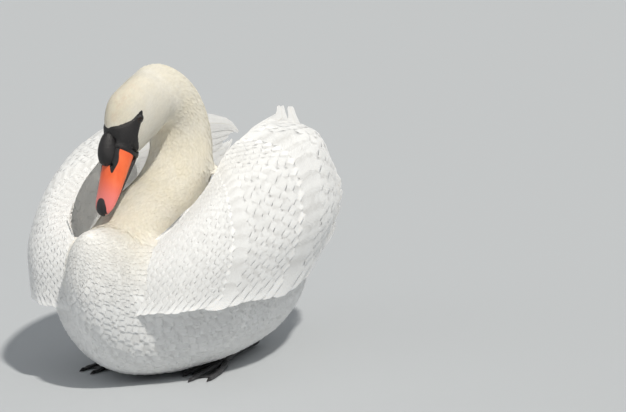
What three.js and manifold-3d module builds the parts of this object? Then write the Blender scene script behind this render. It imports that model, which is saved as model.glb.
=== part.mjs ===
// A life-size mute swan (Cygnus olor, adult male) afloat in its wing-arched display: neck drawn back in an S,
// head low with the bill pointing down, wings raised in two domes over the back. It rests on its belly.
// Millimetres, +Z up. The bird faces -Y, +X is its left side, and the origin is on the floor under its belly.
import * as THREE from "three";
import { mergeVertices } from "three/addons/utils/BufferGeometryUtils.js";
import Module from "manifold-3d";

const wasm = await Module();
wasm.setup();
const { clamp, degToRad, lerp, smoothstep } = THREE.MathUtils;

// Driving dimensions
const draught = 115; // height of the floating waterline above the keel
const seam = 0.3; // gap left between neighbouring pieces
const eyeRadius = 5.8;
const eyeSpacing = 49.2; // between the two eyeball centres
const eyeMiddle = new THREE.Vector3(9, -197, draught + 216); // point midway between the eyes
const headPitch = 62; // degrees that the bill points below the horizon
const headTurn = 23; // degrees that the head is turned to the bird's right
const footTurn = 3; // degrees that each tucked foot turns out
const tipCount = 10; // feather tips along the rear edge of each wing
const tipLength = 0.03; // how far a feather tip stands out at the rear edge, as a share of the wing
const tipLengths = [1, 1, 1, 1, 1.1, 0.3, 1.3, 0.9, 1.1, 1.1].map((share) => share * tipLength); // rim to ridge
const tipCurl = new THREE.Vector3(-9, -8, 13); // how the tips nearest the ridge curl up and inwards
const curlFrom = 0.8; // how far from rim to ridge that curl begins
const covertEnd = 0.8; // share of the wing, from its leading edge, that the arm and its coverts take
const quillGap = 0.0022; // share of the wing left open between the coverts and the secondaries

const plumage = { roughness: 0.85, metalness: 0 };
const finishes = {
  white: new THREE.MeshStandardMaterial({ ...plumage, color: 0xf6f5f0 }),
  cream: new THREE.MeshStandardMaterial({ ...plumage, color: 0xe9e0c8 }),
  bill: new THREE.MeshStandardMaterial({ color: 0xe2592a, roughness: 0.45 }),
  black: new THREE.MeshStandardMaterial({ color: 0x17161a, roughness: 0.5 }),
  eye: new THREE.MeshStandardMaterial({ color: 0x1c120c, roughness: 0.08 }),
  foot: new THREE.MeshStandardMaterial({ color: 0x35363a, roughness: 0.6 }),
};

// Shapes

// Values of a table of stations at any place along it, smoothly interpolated.
function along(stations, place) {
  const names = Object.keys(stations[0]).filter((name) => name !== "at");
  const places = stations.map((row) => row.at);
  const values = stations.flatMap((row) => names.map((name) => row[name]));
  const found = new THREE.CubicInterpolant(places, values, names.length).evaluate(place);
  return Object.fromEntries(names.map((name, i) => [name, found[i]]));
}

const spread = (from, to, steps) =>
  Array.from({ length: steps + 1 }, (_, i) => lerp(from, to, i / steps));

// Like spread, but closer together near both ends, where a body rounds off.
const rounded = (from, to, steps) =>
  spread(0, Math.PI, steps).map((turn) => lerp(from, to, (1 - Math.cos(turn)) / 2));

const circle = (sides) => Array.from({ length: sides }, (_, j) => (2 * Math.PI * j) / sides);

// A closed skin over rings of equal length. A fan closes the first and the last ring.
function skin(rings) {
  const sides = rings[0].length;
  const points = rings.flat();
  const last = points.length - sides;
  const faces = [];
  for (let i = 0; i < last; i += sides)
    for (let j = 0; j < sides; j++) {
      const [a, b] = [i + j, i + ((j + 1) % sides)];
      faces.push(a, b, b + sides, a, b + sides, a + sides);
    }
  for (const first of [0, last]) {
    const middle = points.length;
    const sum = points.slice(first, first + sides).reduce((total, p) => total.add(p), new THREE.Vector3());
    points.push(sum.divideScalar(sides));
    for (let j = 0; j < sides; j++) {
      const [a, b] = [first + j, first + ((j + 1) % sides)];
      faces.push(middle, ...(first ? [a, b] : [b, a]));
    }
  }
  return new THREE.BufferGeometry().setFromPoints(points).setIndex(faces);
}

// A body of oval sections along Y. Each station gives the half width, the top, the low side, the height mid of
// the greatest width and, off the midline, the side. full tells how square the upper and the lower half are:
// 2 is an ellipse. grow swells the body, and floor is the level that flattens it from below.
function ovals(stations, { rings, sides, grow = 0, full = [2, 2], floor = -Infinity }) {
  const places = rounded(stations[0].at, stations.at(-1).at, rings);
  return skin(
    places.map((at) => {
      const { half, top, low, mid = (top + low) / 2, side = 0 } = along(stations, at);
      return circle(sides).map((turn) => {
        const [across, up] = [-Math.cos(turn), Math.sin(turn)];
        const power = 2 / (up > 0 ? full[0] : full[1]);
        const height = (up > 0 ? top - mid : mid - low) + grow;
        const x = side + Math.sign(across) * Math.abs(across) ** power * (half + grow);
        const z = mid + Math.sign(up) * Math.abs(up) ** power * height;
        return new THREE.Vector3(x, at, Math.max(z, floor - grow));
      });
    }),
  );
}

// A round body whose radius changes along a curve, between two shares of its length.
function tube(curve, radius, { from, to, steps, sides, grow = 0 }) {
  const fine = 200;
  const frames = curve.computeFrenetFrames(fine);
  return skin(
    spread(from, to, steps).map((t) => {
      const k = Math.round(t * fine);
      const size = radius(t) + grow;
      return circle(sides).map((turn) =>
        curve
          .getPointAt(t)
          .addScaledVector(frames.normals[k], Math.cos(turn) * size)
          .addScaledVector(frames.binormals[k], Math.sin(turn) * size),
      );
    }),
  );
}

// A curved sheet with two faces: outer(u, v) is its outer face, and thick(u, v) is its thickness inwards.
function sheet(outer, thick, us, vs) {
  const step = 1e-3;
  const slope = (from, to, at) => [Math.max(at - step, from), Math.min(at + step, to)];
  const inner = (u, v) => {
    const [u0, u1] = slope(us[0], us.at(-1), u);
    const [v0, v1] = slope(vs[0], vs.at(-1), v);
    const alongU = outer(u1, v).sub(outer(u0, v));
    const alongV = outer(u, v1).sub(outer(u, v0));
    return outer(u, v).addScaledVector(alongU.cross(alongV).normalize(), -thick(u, v));
  };
  const rings = us.map((u) => [...vs.map((v) => outer(u, v)), ...vs.map((v) => inner(u, v)).reverse()]);
  const ring = 2 * vs.length;
  const last = (us.length - 1) * ring;
  const faces = [];
  for (let i = 0; i < last; i += ring)
    for (let j = 0; j < ring; j++) {
      const [a, b] = [i + j, i + ((j + 1) % ring)];
      faces.push(a, b + ring, b, a, a + ring, b + ring);
    }
  for (const first of [0, last])
    for (let j = 0; j + 1 < vs.length; j++) {
      const [a, b, c, d] = [first + j, first + j + 1, first + ring - 2 - j, first + ring - 1 - j];
      faces.push(...(first ? [a, c, b, a, d, c] : [a, b, c, a, c, d]));
    }
  return new THREE.BufferGeometry().setFromPoints(rings.flat()).setIndex(faces);
}

const ball = (x, y, z, grow = 0) => new THREE.SphereGeometry(1, 12, 8).scale(x + grow, y + grow, z + grow);

// Mirror of a geometry across the bird's midline, with its faces turned back to point out.
function mirrored(geometry) {
  const other = geometry.clone().scale(-1, 1, 1);
  const index = other.index.array;
  for (let i = 0; i < index.length; i += 3) [index[i + 1], index[i + 2]] = [index[i + 2], index[i + 1]];
  return other;
}

function solid(geometry) {
  const bare = new THREE.BufferGeometry();
  bare.setAttribute("position", geometry.getAttribute("position").clone());
  bare.setIndex(geometry.index);
  const merged = mergeVertices(bare, 1e-3);
  const vertProperties = new Float32Array(merged.attributes.position.array);
  const triVerts = new Uint32Array(merged.index.array);
  return new wasm.Manifold(new wasm.Mesh({ numProp: 3, vertProperties, triVerts }));
}

// What is left of a geometry when the tools are taken away. Only its largest piece is kept.
function cut(geometry, ...tools) {
  const whole = tools.reduce((rest, tool) => rest.subtract(solid(tool)), solid(geometry));
  const mesh = whole.decompose().reduce((a, b) => (a.volume() > b.volume() ? a : b)).getMesh();
  const left = new THREE.BufferGeometry();
  left.setAttribute("position", new THREE.BufferAttribute(new Float32Array(mesh.vertProperties), 3));
  return left.setIndex(new THREE.BufferAttribute(new Uint32Array(mesh.triVerts), 1));
}

const swan = new THREE.Group();

function piece(name, geometry, finish, parent = swan) {
  geometry.computeVertexNormals();
  const mesh = new THREE.Mesh(geometry, finish);
  mesh.name = name;
  parent.add(mesh);
}

// Trunk: a boat from the bulging breast to the rump, flat where it rests.
const trunkStations = [
  { at: -303, half: 8, top: 174, low: 134, mid: 154 },
  { at: -296, half: 27, top: 193, low: 108, mid: 150 },
  { at: -275, half: 39, top: 208, low: 72, mid: 146 },
  { at: -235, half: 59, top: 204, low: 34, mid: 132 },
  { at: -180, half: 106, top: 192, low: 8, mid: 116 },
  { at: -100, half: 140, top: 190, low: -5, mid: 110 },
  { at: 0, half: 146, top: 196, low: -7, mid: 106 },
  { at: 100, half: 132, top: 202, low: -2, mid: 110 },
  { at: 190, half: 100, top: 202, low: 26, mid: 122 },
  { at: 260, half: 68, top: 192, low: 68, mid: 136 },
  { at: 305, half: 46, top: 182, low: 106, mid: 148 },
  { at: 322, half: 10, top: 166, low: 142, mid: 152 },
];
const trunkBody = (grow = 0) =>
  ovals(trunkStations, { rings: 20, sides: 26, full: [2.1, 1.95], floor: 0, grow });

// Tail: a closed wedge of quills that leaves the rump and rises a little.
const tailStations = [
  { at: 285, half: 36, top: 172, low: 130, mid: 160 },
  { at: 320, half: 47, top: 179, low: 146, mid: 167 },
  { at: 365, half: 50, top: 184, low: 166, mid: 177 },
  { at: 400, half: 38, top: 188, low: 179, mid: 184 },
  { at: 424, half: 17, top: 190, low: 185, mid: 187 },
  { at: 432, half: 4, top: 190, low: 187, mid: 188.5 },
];
const tailBlade = ovals(tailStations, { rings: 11, sides: 16 });

// Neck: an S drawn back over the body, from inside the breast to the skull.
const neckPath = [
  [0, -218, -6],
  [2, -212, 36],
  [11, -172, 74],
  [23, -114, 108],
  [30, -84, 154],
  [28, -86, 203],
  [25, -118, 237],
  [18, -153, 241],
  [11, -180, 222],
];
const neckSizes = [
  { at: 0, radius: 46 },
  { at: 0.2, radius: 50 },
  { at: 0.4, radius: 48 },
  { at: 0.6, radius: 42 },
  { at: 0.8, radius: 37 },
  { at: 1, radius: 28 },
];
const neckLengths = [
  { name: "neck_lower", from: 0, to: 0.46, steps: 13 },
  { name: "neck_middle", from: 0.461, to: 0.72, steps: 9 },
  { name: "neck_upper", from: 0.721, to: 1, steps: 9 },
];
const afloat = ([x, y, z]) => new THREE.Vector3(x, y, draught + z);
const neckLine = new THREE.CatmullRomCurve3(neckPath.map(afloat));
const neckTube = (length) => tube(neckLine, (t) => along(neckSizes, t).radius, { sides: 18, ...length });

// Wing: four guide lines run from the leading edge beside the neck (p = 0) to the rear edge (p = 1), and q runs
// across them, from the rim over the flank to the ridge over the back.
const wingGuides = {
  rim: [[22, -252, -8], [100, -230, -3], [150, -130, 2], [158, 10, 4], [128, 196, 20]],
  flank: [[28, -248, 32], [110, -216, 50], [160, -110, 66], [174, 60, 86], [122, 250, 88]],
  shoulder: [[46, -228, 58], [102, -190, 96], [134, -85, 142], [147, 80, 171], [80, 263, 153]],
  ridge: [[74, -195, 90], [83, -130, 126], [81, -50, 167], [91, 10, 188], [90, 102, 198]],
};
const wingLines = Object.values(wingGuides).map((run) => new THREE.CatmullRomCurve3(run.map(afloat)));
const wingSection = (p) => new THREE.CatmullRomCurve3(wingLines.map((line) => line.getPoint(p)));
function wingSurface(p, q) {
  const place = wingSection(clamp(p, 0, 1)).getPoint(q);
  if (p <= 1) return place;
  const step = 0.03;
  const before = wingSection(1 - step).getPoint(q);
  const crown = q > curlFrom ? Math.abs(Math.sin(tipCount * Math.PI * q)) : 0;
  const curl = crown * smoothstep(p, 0.97, 1 + tipLength);
  return place.addScaledVector(place.clone().sub(before), (p - 1) / step).addScaledVector(tipCurl, curl);
}
// Thick over the folded arm, thin at both ends and up towards the ridge.
function wingThickness(p, q) {
  const arm = 12 + 20 * Math.sin(Math.PI * smoothstep(p, 0, 0.75)) - 3 * p;
  return arm * (1 - 0.5 * smoothstep(q, 0.4, 1));
}
const wingDome = sheet(wingSurface, wingThickness, spread(0, covertEnd, 12), spread(0, 1, 10));

// Secondaries: the rear edge of the wing runs out in one rounded tip for each long feather.
function tipRise(q) {
  const tip = Math.min(Math.floor(q * tipCount), tipCount - 1);
  return tipLengths[tip] * Math.sqrt(Math.abs(Math.sin(tipCount * Math.PI * q)));
}
const featherPlace = (r, q) => covertEnd + quillGap + r * (1 - covertEnd + tipRise(q));
const secondaryFan = sheet(
  (r, q) => wingSurface(featherPlace(r, q), q),
  (r) => lerp(7, 2.5, r),
  spread(0, 1, 3),
  spread(0, 1, 3 * tipCount),
);

// Primaries: a folded blade on each side, which runs back under the arched secondaries and over the rump.
const primaryStations = [
  { at: 60, side: 106, half: 3, top: 258, low: 228 },
  { at: 80, side: 104, half: 8, top: 272, low: 214 },
  { at: 180, side: 86, half: 8, top: 280, low: 208 },
  { at: 245, side: 67, half: 6, top: 284, low: 208 },
  { at: 270, side: 62, half: 4.5, top: 285, low: 222 },
  { at: 282, side: 59, half: 3.5, top: 283, low: 242 },
  { at: 292, side: 56, half: 3, top: 281, low: 262 },
  { at: 302, side: 52, half: 1.5, top: 278, low: 271 },
];
const primaryBlade = ovals(primaryStations, { rings: 11, sides: 10 });

// Tucked foot: the shank lies along the floor beside the keel, with the web folded forward of it.
const footStations = [
  { at: -150, half: 5, top: 3, low: -1 },
  { at: -141, half: 12, top: 5, low: -1 },
  { at: -113, half: 21, top: 7.5, low: -1 },
  { at: -70, half: 24, top: 9.5, low: -1 },
  { at: -25, half: 14, top: 13, low: -1 },
  { at: 0, half: 9, top: 16, low: -1 },
  { at: 60, half: 7.5, top: 15, low: -1 },
  { at: 100, half: 9, top: 18, low: -1 },
  { at: 112, half: 4, top: 14, low: 2 },
];
const foot = (grow = 0) =>
  ovals(footStations, { rings: 13, sides: 10, full: [2, 2.6], floor: 0, grow })
    .rotateZ(degToRad(footTurn))
    .translate(60, -6, 0);

// Head, in its own frame: origin midway between the eyes, bill towards -Y, crown towards +Z.
const head = new THREE.Group();
head.position.copy(eyeMiddle);
head.rotation.set(degToRad(headPitch), 0, degToRad(-headTurn), "ZYX");
swan.add(head);
const skullStations = [
  { at: -47, half: 12, top: 6, low: -27, mid: -10 },
  { at: -42, half: 17, top: 12, low: -32, mid: -9 },
  { at: -28, half: 21.5, top: 21, low: -38, mid: -8 },
  { at: -8, half: 27, top: 29, low: -47, mid: -7 },
  { at: 15, half: 31, top: 32, low: -58, mid: -9 },
  { at: 38, half: 31, top: 27, low: -62, mid: -15 },
  { at: 54, half: 25, top: 16, low: -54, mid: -18 },
  { at: 62, half: 8, top: 0, low: -36, mid: -18 },
];
const upperStations = [
  { at: -123, half: 5, top: -16, low: -20.5, mid: -18.5 },
  { at: -119, half: 12.5, top: -13, low: -22.5, mid: -18 },
  { at: -110, half: 16.2, top: -9.5, low: -24.5, mid: -17.5 },
  { at: -95, half: 17.2, top: -5, low: -26, mid: -17 },
  { at: -78, half: 17.4, top: 0, low: -26.5, mid: -15 },
  { at: -60, half: 18, top: 6, low: -26.5, mid: -13 },
  { at: -36, half: 19, top: 11, low: -25.5, mid: -11 },
];
const lowerStations = [
  { at: -116, half: 9, top: -19, low: -26, mid: -22.5 },
  { at: -104, half: 12, top: -21, low: -28.5, mid: -24 },
  { at: -80, half: 12.8, top: -21, low: -30.5, mid: -25 },
  { at: -60, half: 13.5, top: -21, low: -32, mid: -25.5 },
  { at: -34, half: 15, top: -21, low: -33, mid: -25.5 },
];
const skull = (grow = 0) => ovals(skullStations, { rings: 12, sides: 20, grow });
// grow also moves the bill's base deeper into the skull, so that a grown bill is the socket for a plain one.
const billUpper = (grow = 0) =>
  ovals(upperStations, { rings: 11, sides: 16, full: [2.2, 3], grow }).translate(0, grow, 0);
const billLower = (grow = 0) =>
  ovals(lowerStations, { rings: 8, sides: 14, full: [2.2, 2.4], grow }).translate(0, grow, 0);
const nail = (grow = 0) => ball(7.5, 9.5, 3.8, grow).rotateX(degToRad(16)).translate(0, -114, -11.8);
const knob = (grow = 0) => ball(11, 20, 10.5, grow).rotateX(degToRad(22)).translate(0, -46, 12);
const nostril = (side) => ball(2.2, 7, 2.6).rotateX(degToRad(14)).translate(side * 10, -75, 0);
const eyeball = (side, grow = 0) =>
  ball(eyeRadius, eyeRadius, eyeRadius, grow).translate((side * eyeSpacing) / 2, 0, 0);

// Each piece gives way, by the seam, to those that it meets.
head.updateMatrixWorld();
const roomForTrunk = trunkBody(seam);
const roomForNeck = neckTube({ from: 0, to: 1, steps: 36, grow: seam });
const roomForSkull = skull(seam).applyMatrix4(head.matrixWorld);
const roomForBill = [billUpper(seam), billLower(seam)];
const wingArm = cut(wingDome, roomForTrunk, roomForNeck);
const secondaries = cut(secondaryFan, roomForTrunk, wingDome);
const primaries = cut(primaryBlade, roomForTrunk);

piece("trunk", cut(trunkBody(), foot(seam), mirrored(foot(seam))), finishes.white);
piece("tail", cut(tailBlade, roomForTrunk), finishes.white);
for (const length of neckLengths)
  piece(length.name, cut(neckTube(length), roomForTrunk, roomForSkull), finishes.cream);
piece("head", cut(skull(), ...roomForBill, eyeball(1, seam), eyeball(-1, seam)), finishes.cream, head);
piece("bill_upper", cut(billUpper(), nail(seam), nostril(1), nostril(-1)), finishes.bill, head);
piece("bill_lower", cut(billLower(), billUpper(seam)), finishes.black, head);
piece("bill_nail", nail(), finishes.black, head);
piece("bill_knob", cut(knob(), billUpper(seam), skull(seam)), finishes.black, head);
for (const [side, name] of [[1, "left"], [-1, "right"]]) {
  const onSide = (geometry) => (side > 0 ? geometry : mirrored(geometry));
  piece(`eye_${name}`, eyeball(side), finishes.eye, head);
  piece(`wing_${name}_arm`, onSide(wingArm), finishes.white);
  piece(`wing_${name}_secondaries`, onSide(secondaries), finishes.white);
  piece(`wing_${name}_primaries`, onSide(primaries), finishes.white);
  piece(`foot_${name}`, onSide(foot()), finishes.foot);
}

export default swan;
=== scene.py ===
import math
import bmesh
import bpy
import numpy as np
from mathutils import Euler, Matrix, Vector
from mathutils.bvhtree import BVHTree
from mathutils.kdtree import KDTree


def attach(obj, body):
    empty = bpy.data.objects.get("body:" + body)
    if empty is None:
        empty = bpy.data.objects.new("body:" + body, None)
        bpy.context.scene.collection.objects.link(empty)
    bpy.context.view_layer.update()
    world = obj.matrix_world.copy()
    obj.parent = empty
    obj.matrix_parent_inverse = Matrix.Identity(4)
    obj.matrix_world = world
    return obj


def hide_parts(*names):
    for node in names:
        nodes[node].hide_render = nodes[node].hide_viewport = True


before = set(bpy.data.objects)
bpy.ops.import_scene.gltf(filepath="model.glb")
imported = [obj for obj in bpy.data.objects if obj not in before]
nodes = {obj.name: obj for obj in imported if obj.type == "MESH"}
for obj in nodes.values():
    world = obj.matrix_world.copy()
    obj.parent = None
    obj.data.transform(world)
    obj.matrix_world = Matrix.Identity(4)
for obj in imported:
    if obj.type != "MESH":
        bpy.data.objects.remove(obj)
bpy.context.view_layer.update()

# Mute swan afloat with arched wings, life size, in metres. It faces -Y, its left is +X, z = 0 is the floor.
scene = bpy.context.scene
mm = 0.001
print("frame loaded:", len(nodes), "nodes")

# view, floor and lights
view = {
    "place": (1.2052, -2.7069, 0.5843),
    "forward": (-0.3527, 0.9268, -0.1292),
    "lens": 132.7,
    "sensor": 36.0,
}
stage = {"size": 160.0, "tone": (0.50, 0.52, 0.54)}
lamps = {
    # name: (shines from, strength, spread in degrees, colour)
    "key": ((1.25, -1.35, 2.15), 2.9, 3, (1.0, 0.965, 0.90)),
    "fill": ((-1.6, -1.5, 1.0), 0.20, 60, (0.97, 0.985, 1.0)),
}
room = {"colour": (0.95, 0.98, 1.0), "strength": 0.40}


def addCamera():
    data = bpy.data.cameras.new("viewCamera")
    data.lens = view["lens"]
    data.sensor_width = view["sensor"]
    data.clip_end = 50
    camera = bpy.data.objects.new("viewCamera", data)
    camera.location = view["place"]
    camera.rotation_euler = Vector(view["forward"]).to_track_quat("-Z", "Y").to_euler()
    scene.collection.objects.link(camera)
    scene.camera = camera


def addLamp(name, place, strength, spread, colour):
    data = bpy.data.lights.new(name + "Lamp", "SUN")
    data.energy = strength
    data.angle = math.radians(spread)
    data.color = colour
    lamp = bpy.data.objects.new(name + "Lamp", data)
    lamp.location = place
    lamp.rotation_euler = (-Vector(place)).to_track_quat("-Z", "Y").to_euler()
    scene.collection.objects.link(lamp)


addCamera()
for lampName, lampSet in lamps.items():
    addLamp(lampName, *lampSet)
world = bpy.data.worlds.new("softRoom")
world.use_nodes = True
world.node_tree.nodes["Background"].inputs["Color"].default_value = (*room["colour"], 1)
world.node_tree.nodes["Background"].inputs["Strength"].default_value = room["strength"]
scene.world = world
scene.view_settings.view_transform = "Standard"
print("view, lights and room set")


# modelling helpers
def deselectAll():
    if bpy.context.object and bpy.context.object.mode != "OBJECT":
        bpy.ops.object.mode_set(mode="OBJECT")
    for thing in bpy.context.selected_objects:
        thing.select_set(False)


def pickOnly(thing):
    deselectAll()
    thing.select_set(True)
    bpy.context.view_layer.objects.active = thing


def applyAll(thing):
    pickOnly(thing)
    for modifier in list(thing.modifiers):
        bpy.ops.object.modifier_apply(modifier=modifier.name)


def putOn(thing, material, slotName, *replaced):
    # material and body of a finished piece, and the solids that it stands for; the slot name is not used
    thing.data.materials.clear()
    thing.data.materials.append(material)
    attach(thing, "root")
    if replaced:
        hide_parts(*replaced)


def meshPoints(mesh):
    points = np.empty(len(mesh.vertices) * 3)
    mesh.vertices.foreach_get("co", points)
    return points.reshape(-1, 3)


def setPoints(mesh, points):
    mesh.vertices.foreach_set("co", np.ascontiguousarray(points, dtype=np.float32).ravel())
    mesh.update()


def meshNormals(mesh):
    normals = np.empty(len(mesh.vertices) * 3)
    mesh.vertices.foreach_get("normal", normals)
    return normals.reshape(-1, 3)


def addMesh(name, points, faces):
    mesh = bpy.data.meshes.new(name)
    mesh.from_pydata(points, [], faces)
    thing = bpy.data.objects.new(name, mesh)
    scene.collection.objects.link(thing)
    return thing


def turnFacesOut():
    # in edit mode
    bpy.ops.mesh.select_all(action="SELECT")
    bpy.ops.mesh.normals_make_consistent(inside=False)


def treeOf(points):
    tree = KDTree(len(points))
    for k, point in enumerate(points):
        tree.insert(point, k)
    tree.balance()
    return tree


def unit(vectors):
    return vectors / np.maximum(np.linalg.norm(vectors, axis=-1, keepdims=True), 1e-12)


def ease(low, high, value):
    t = np.clip((np.asarray(value, float) - low) / (high - low), 0, 1)
    return t * t * (3 - 2 * t)


# floor
deselectAll()
bpy.ops.mesh.primitive_plane_add(size=stage["size"], location=(0, 0, 0))
floor = bpy.context.object
floor.name = "floor"
bpy.ops.object.mode_set(mode="EDIT")
bpy.ops.mesh.subdivide(number_cuts=7)
bpy.ops.object.mode_set(mode="OBJECT")
floorMaterial = bpy.data.materials.new("paleFloor")
floorMaterial.use_nodes = True
floorShader = floorMaterial.node_tree.nodes["Principled BSDF"]
floorShader.inputs["Base Color"].default_value = (*stage["tone"], 1)
floorShader.inputs["Roughness"].default_value = 0.9
floor.data.materials.append(floorMaterial)

# head frame: origin between the eyes, bill towards -Y, crown towards +Z
headFrame = Matrix.Translation((0.009, -0.197, 0.331)) @ Euler(
    (math.radians(62), 0, math.radians(-23)), "XYZ").to_matrix().to_4x4()
headTurn = np.array(headFrame.to_3x3())
headPlace = np.array(headFrame.translation)


def toHead(points):
    # in mm
    return (points - headPlace) @ headTurn * 1000


# skin: one closed skin over trunk, neck, head, wing arms and rump
skin = {
    "smoothShare": 0.6, "fillStep": 0.0016, "normalsEvery": 6, "lowest": 0.0008,
    "flesh": ("trunk", "tail", "neck_lower", "neck_middle", "neck_upper", "head",
              "wing_left_arm", "wing_right_arm"),
    "tailCut": 0.352,      # the quills behind this are feathers only
    "swell": 0.0012,       # closes the seams between the solids before the remesh
    "voxel": 0.0034,
    "smoothRounds": 14,
    "fillRounds": 46,
    "depth": {"head": 0.0014, "neck": 0.0026, "trunk": 0.0048, "wing": 0.0048},
    # soft pushes of the finished form: centre, push and reach, mm
    "pushes": [((0, -190, 376), (2.4, 5.8, -5.2), 24), ((14, -150, 384), (-0.6, -1.4, 3.6), 24),
               ((22, -122, 387), (0.4, -1, 3.0), 24), ((75, -85, 264), (0, 5, -10), 11)],
}


def fleshCopy(name):
    source = nodes[name]
    copy = bpy.data.objects.new(name + "Flesh", source.data.copy())
    scene.collection.objects.link(copy)
    pickOnly(copy)
    bpy.ops.object.mode_set(mode="EDIT")
    bpy.ops.mesh.select_all(action="SELECT")
    bpy.ops.mesh.remove_doubles(threshold=1e-5)
    if name == "tail":
        bpy.ops.mesh.bisect(plane_co=(0, skin["tailCut"], 0), plane_no=(0, 1, 0), use_fill=True,
                            clear_outer=True)
    bpy.ops.object.mode_set(mode="OBJECT")
    swell = copy.modifiers.new("swell", "DISPLACE")
    swell.strength = skin["swell"]
    swell.mid_level = 0
    applyAll(copy)
    return copy


def meshEdges(mesh):
    edges = np.empty(len(mesh.edges) * 2, np.int64)
    mesh.edges.foreach_get("vertices", edges)
    return edges.reshape(-1, 2)


def neighbourMean(values, edges, counts):
    ends = np.concatenate([edges[:, 0], edges[:, 1]])
    others = np.concatenate([edges[:, 1], edges[:, 0]])
    total = np.stack([np.bincount(ends, values[others, k], len(values)) for k in range(values.shape[1])], 1)
    return total / counts[:, None]


def joinFlesh():
    copies = [fleshCopy(name) for name in skin["flesh"]]
    deselectAll()
    for copy in copies:
        copy.select_set(True)
    bpy.context.view_layer.objects.active = copies[0]
    bpy.ops.object.join()
    body = bpy.context.object
    body.name = "swanSkin"
    remesh = body.modifiers.new("oneSkin", "REMESH")
    remesh.mode = "VOXEL"
    remesh.voxel_size = skin["voxel"]
    applyAll(body)
    return body


def nearestNode(points):
    # which solid each point belongs to
    found = np.zeros(len(points), int)
    best = np.full(len(points), 9.0)
    for k, name in enumerate(skin["flesh"]):
        mesh = nodes[name].data
        corners = [tuple(v.co) for v in mesh.vertices]
        tree = BVHTree.FromPolygons(corners, [tuple(p.vertices) for p in mesh.polygons])
        for i, point in enumerate(points):
            gap = tree.find_nearest(point, best[i])[3]
            if gap is not None and gap < best[i]:
                best[i] = gap
                found[i] = k
    return found


def shapeSkin(body):
    mesh = body.data
    edges = meshEdges(mesh)
    points = meshPoints(mesh)
    counts = np.bincount(edges.ravel(), minlength=len(points)).astype(float)
    for _ in range(skin["smoothRounds"]):
        points += skin["smoothShare"] * (neighbourMean(points, edges, counts) - points)
    setPoints(mesh, points)
    for turn in range(skin["fillRounds"]):  # creases fill up, nothing else moves
        if turn % skin["normalsEvery"] == 0:
            setPoints(mesh, points)
            normals = meshNormals(mesh)
        move = np.einsum("ij,ij->i", neighbourMean(points, edges, counts) - points, normals)
        points += np.clip(move, 0, skin["fillStep"])[:, None] * normals
    for _ in range(4):
        points += 0.5 * (neighbourMean(points, edges, counts) - points)
    setPoints(mesh, points)
    region = nearestNode(points)
    for centre, push, reach in skin["pushes"]:
        near = np.exp(-((points - np.array(centre) * mm) ** 2).sum(1) / (reach * mm) ** 2)
        points = points + near[:, None] * np.array(push) * mm
    setPoints(mesh, points)
    names = np.array(["trunk", "trunk", "neck", "neck", "neck", "head", "wing", "wing"])[region]
    depth = np.array([skin["depth"][name] for name in names])[:, None]
    for _ in range(30):
        depth += 0.7 * (neighbourMean(depth, edges, counts) - depth)
    points = points - (depth + skin["swell"]) * meshNormals(mesh)
    for _ in range(3):
        points += 0.5 * (neighbourMean(points, edges, counts) - points)
    points[:, 2] = np.maximum(points[:, 2], skin["lowest"])
    setPoints(mesh, points)
    return names, edges, counts


body = joinFlesh()
regionNames, skinEdges, skinCounts = shapeSkin(body)
print("skin ready:", len(body.data.polygons), "faces")


# materials
class Nodes:
    # short hand for wiring one node tree
    def __init__(self, tree):
        self.tree = tree

    def add(self, kind, settings=None, **inputs):
        node = self.tree.nodes.new(kind)
        for key, value in (settings or {}).items():
            setattr(node, key, value)
        for key, value in inputs.items():
            self.feed(node.inputs[int(key[1:]) if key[1:].isdigit() else key.replace("_", " ")], value)
        return node

    def feed(self, socket, value):
        if isinstance(value, bpy.types.NodeSocket):
            self.tree.links.new(value, socket)
        else:
            socket.default_value = value

    def math(self, kind, a, b=0.0, c=0.0):
        return self.add("ShaderNodeMath", {"operation": kind}, i0=a, i1=b, i2=c).outputs[0]

    def blendColours(self, share, a, b, kind="MIX"):
        node = self.add("ShaderNodeMix", {"data_type": "RGBA", "blend_type": kind})
        for socket, value in ((node.inputs[0], share), (node.inputs[6], a), (node.inputs[7], b)):
            self.feed(socket, value)
        return node.outputs[2]

    def bump(self, shader, height, strength, distance):
        node = self.add("ShaderNodeBump", None, Height=height, Strength=strength, Distance=distance)
        self.feed(shader.inputs["Normal"], node.outputs[0])

    def noise(self, place, scale, detail=3.0, rough=0.55):
        return self.add("ShaderNodeTexNoise", None, Vector=place, Scale=scale, Detail=detail,
                        Roughness=rough).outputs["Fac"]

    def remap(self, value, low, high, start=0.0, end=1.0):
        return self.add("ShaderNodeMapRange", {"interpolation_type": "SMOOTHSTEP"}, Value=value, From_Min=low,
                        From_Max=high, To_Min=start, To_Max=end).outputs[0]


def newGroup(name, inputs, outputs):
    group = bpy.data.node_groups.new(name, "ShaderNodeTree")
    for label, kind, value in inputs:
        socket = group.interface.new_socket(name=label, in_out="INPUT", socket_type="NodeSocket" + kind)
        if value is not None:
            socket.default_value = value
    for label, kind in outputs:
        group.interface.new_socket(name=label, in_out="OUTPUT", socket_type="NodeSocket" + kind)
    return group, group.nodes.new("NodeGroupInput"), group.nodes.new("NodeGroupOutput")


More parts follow.
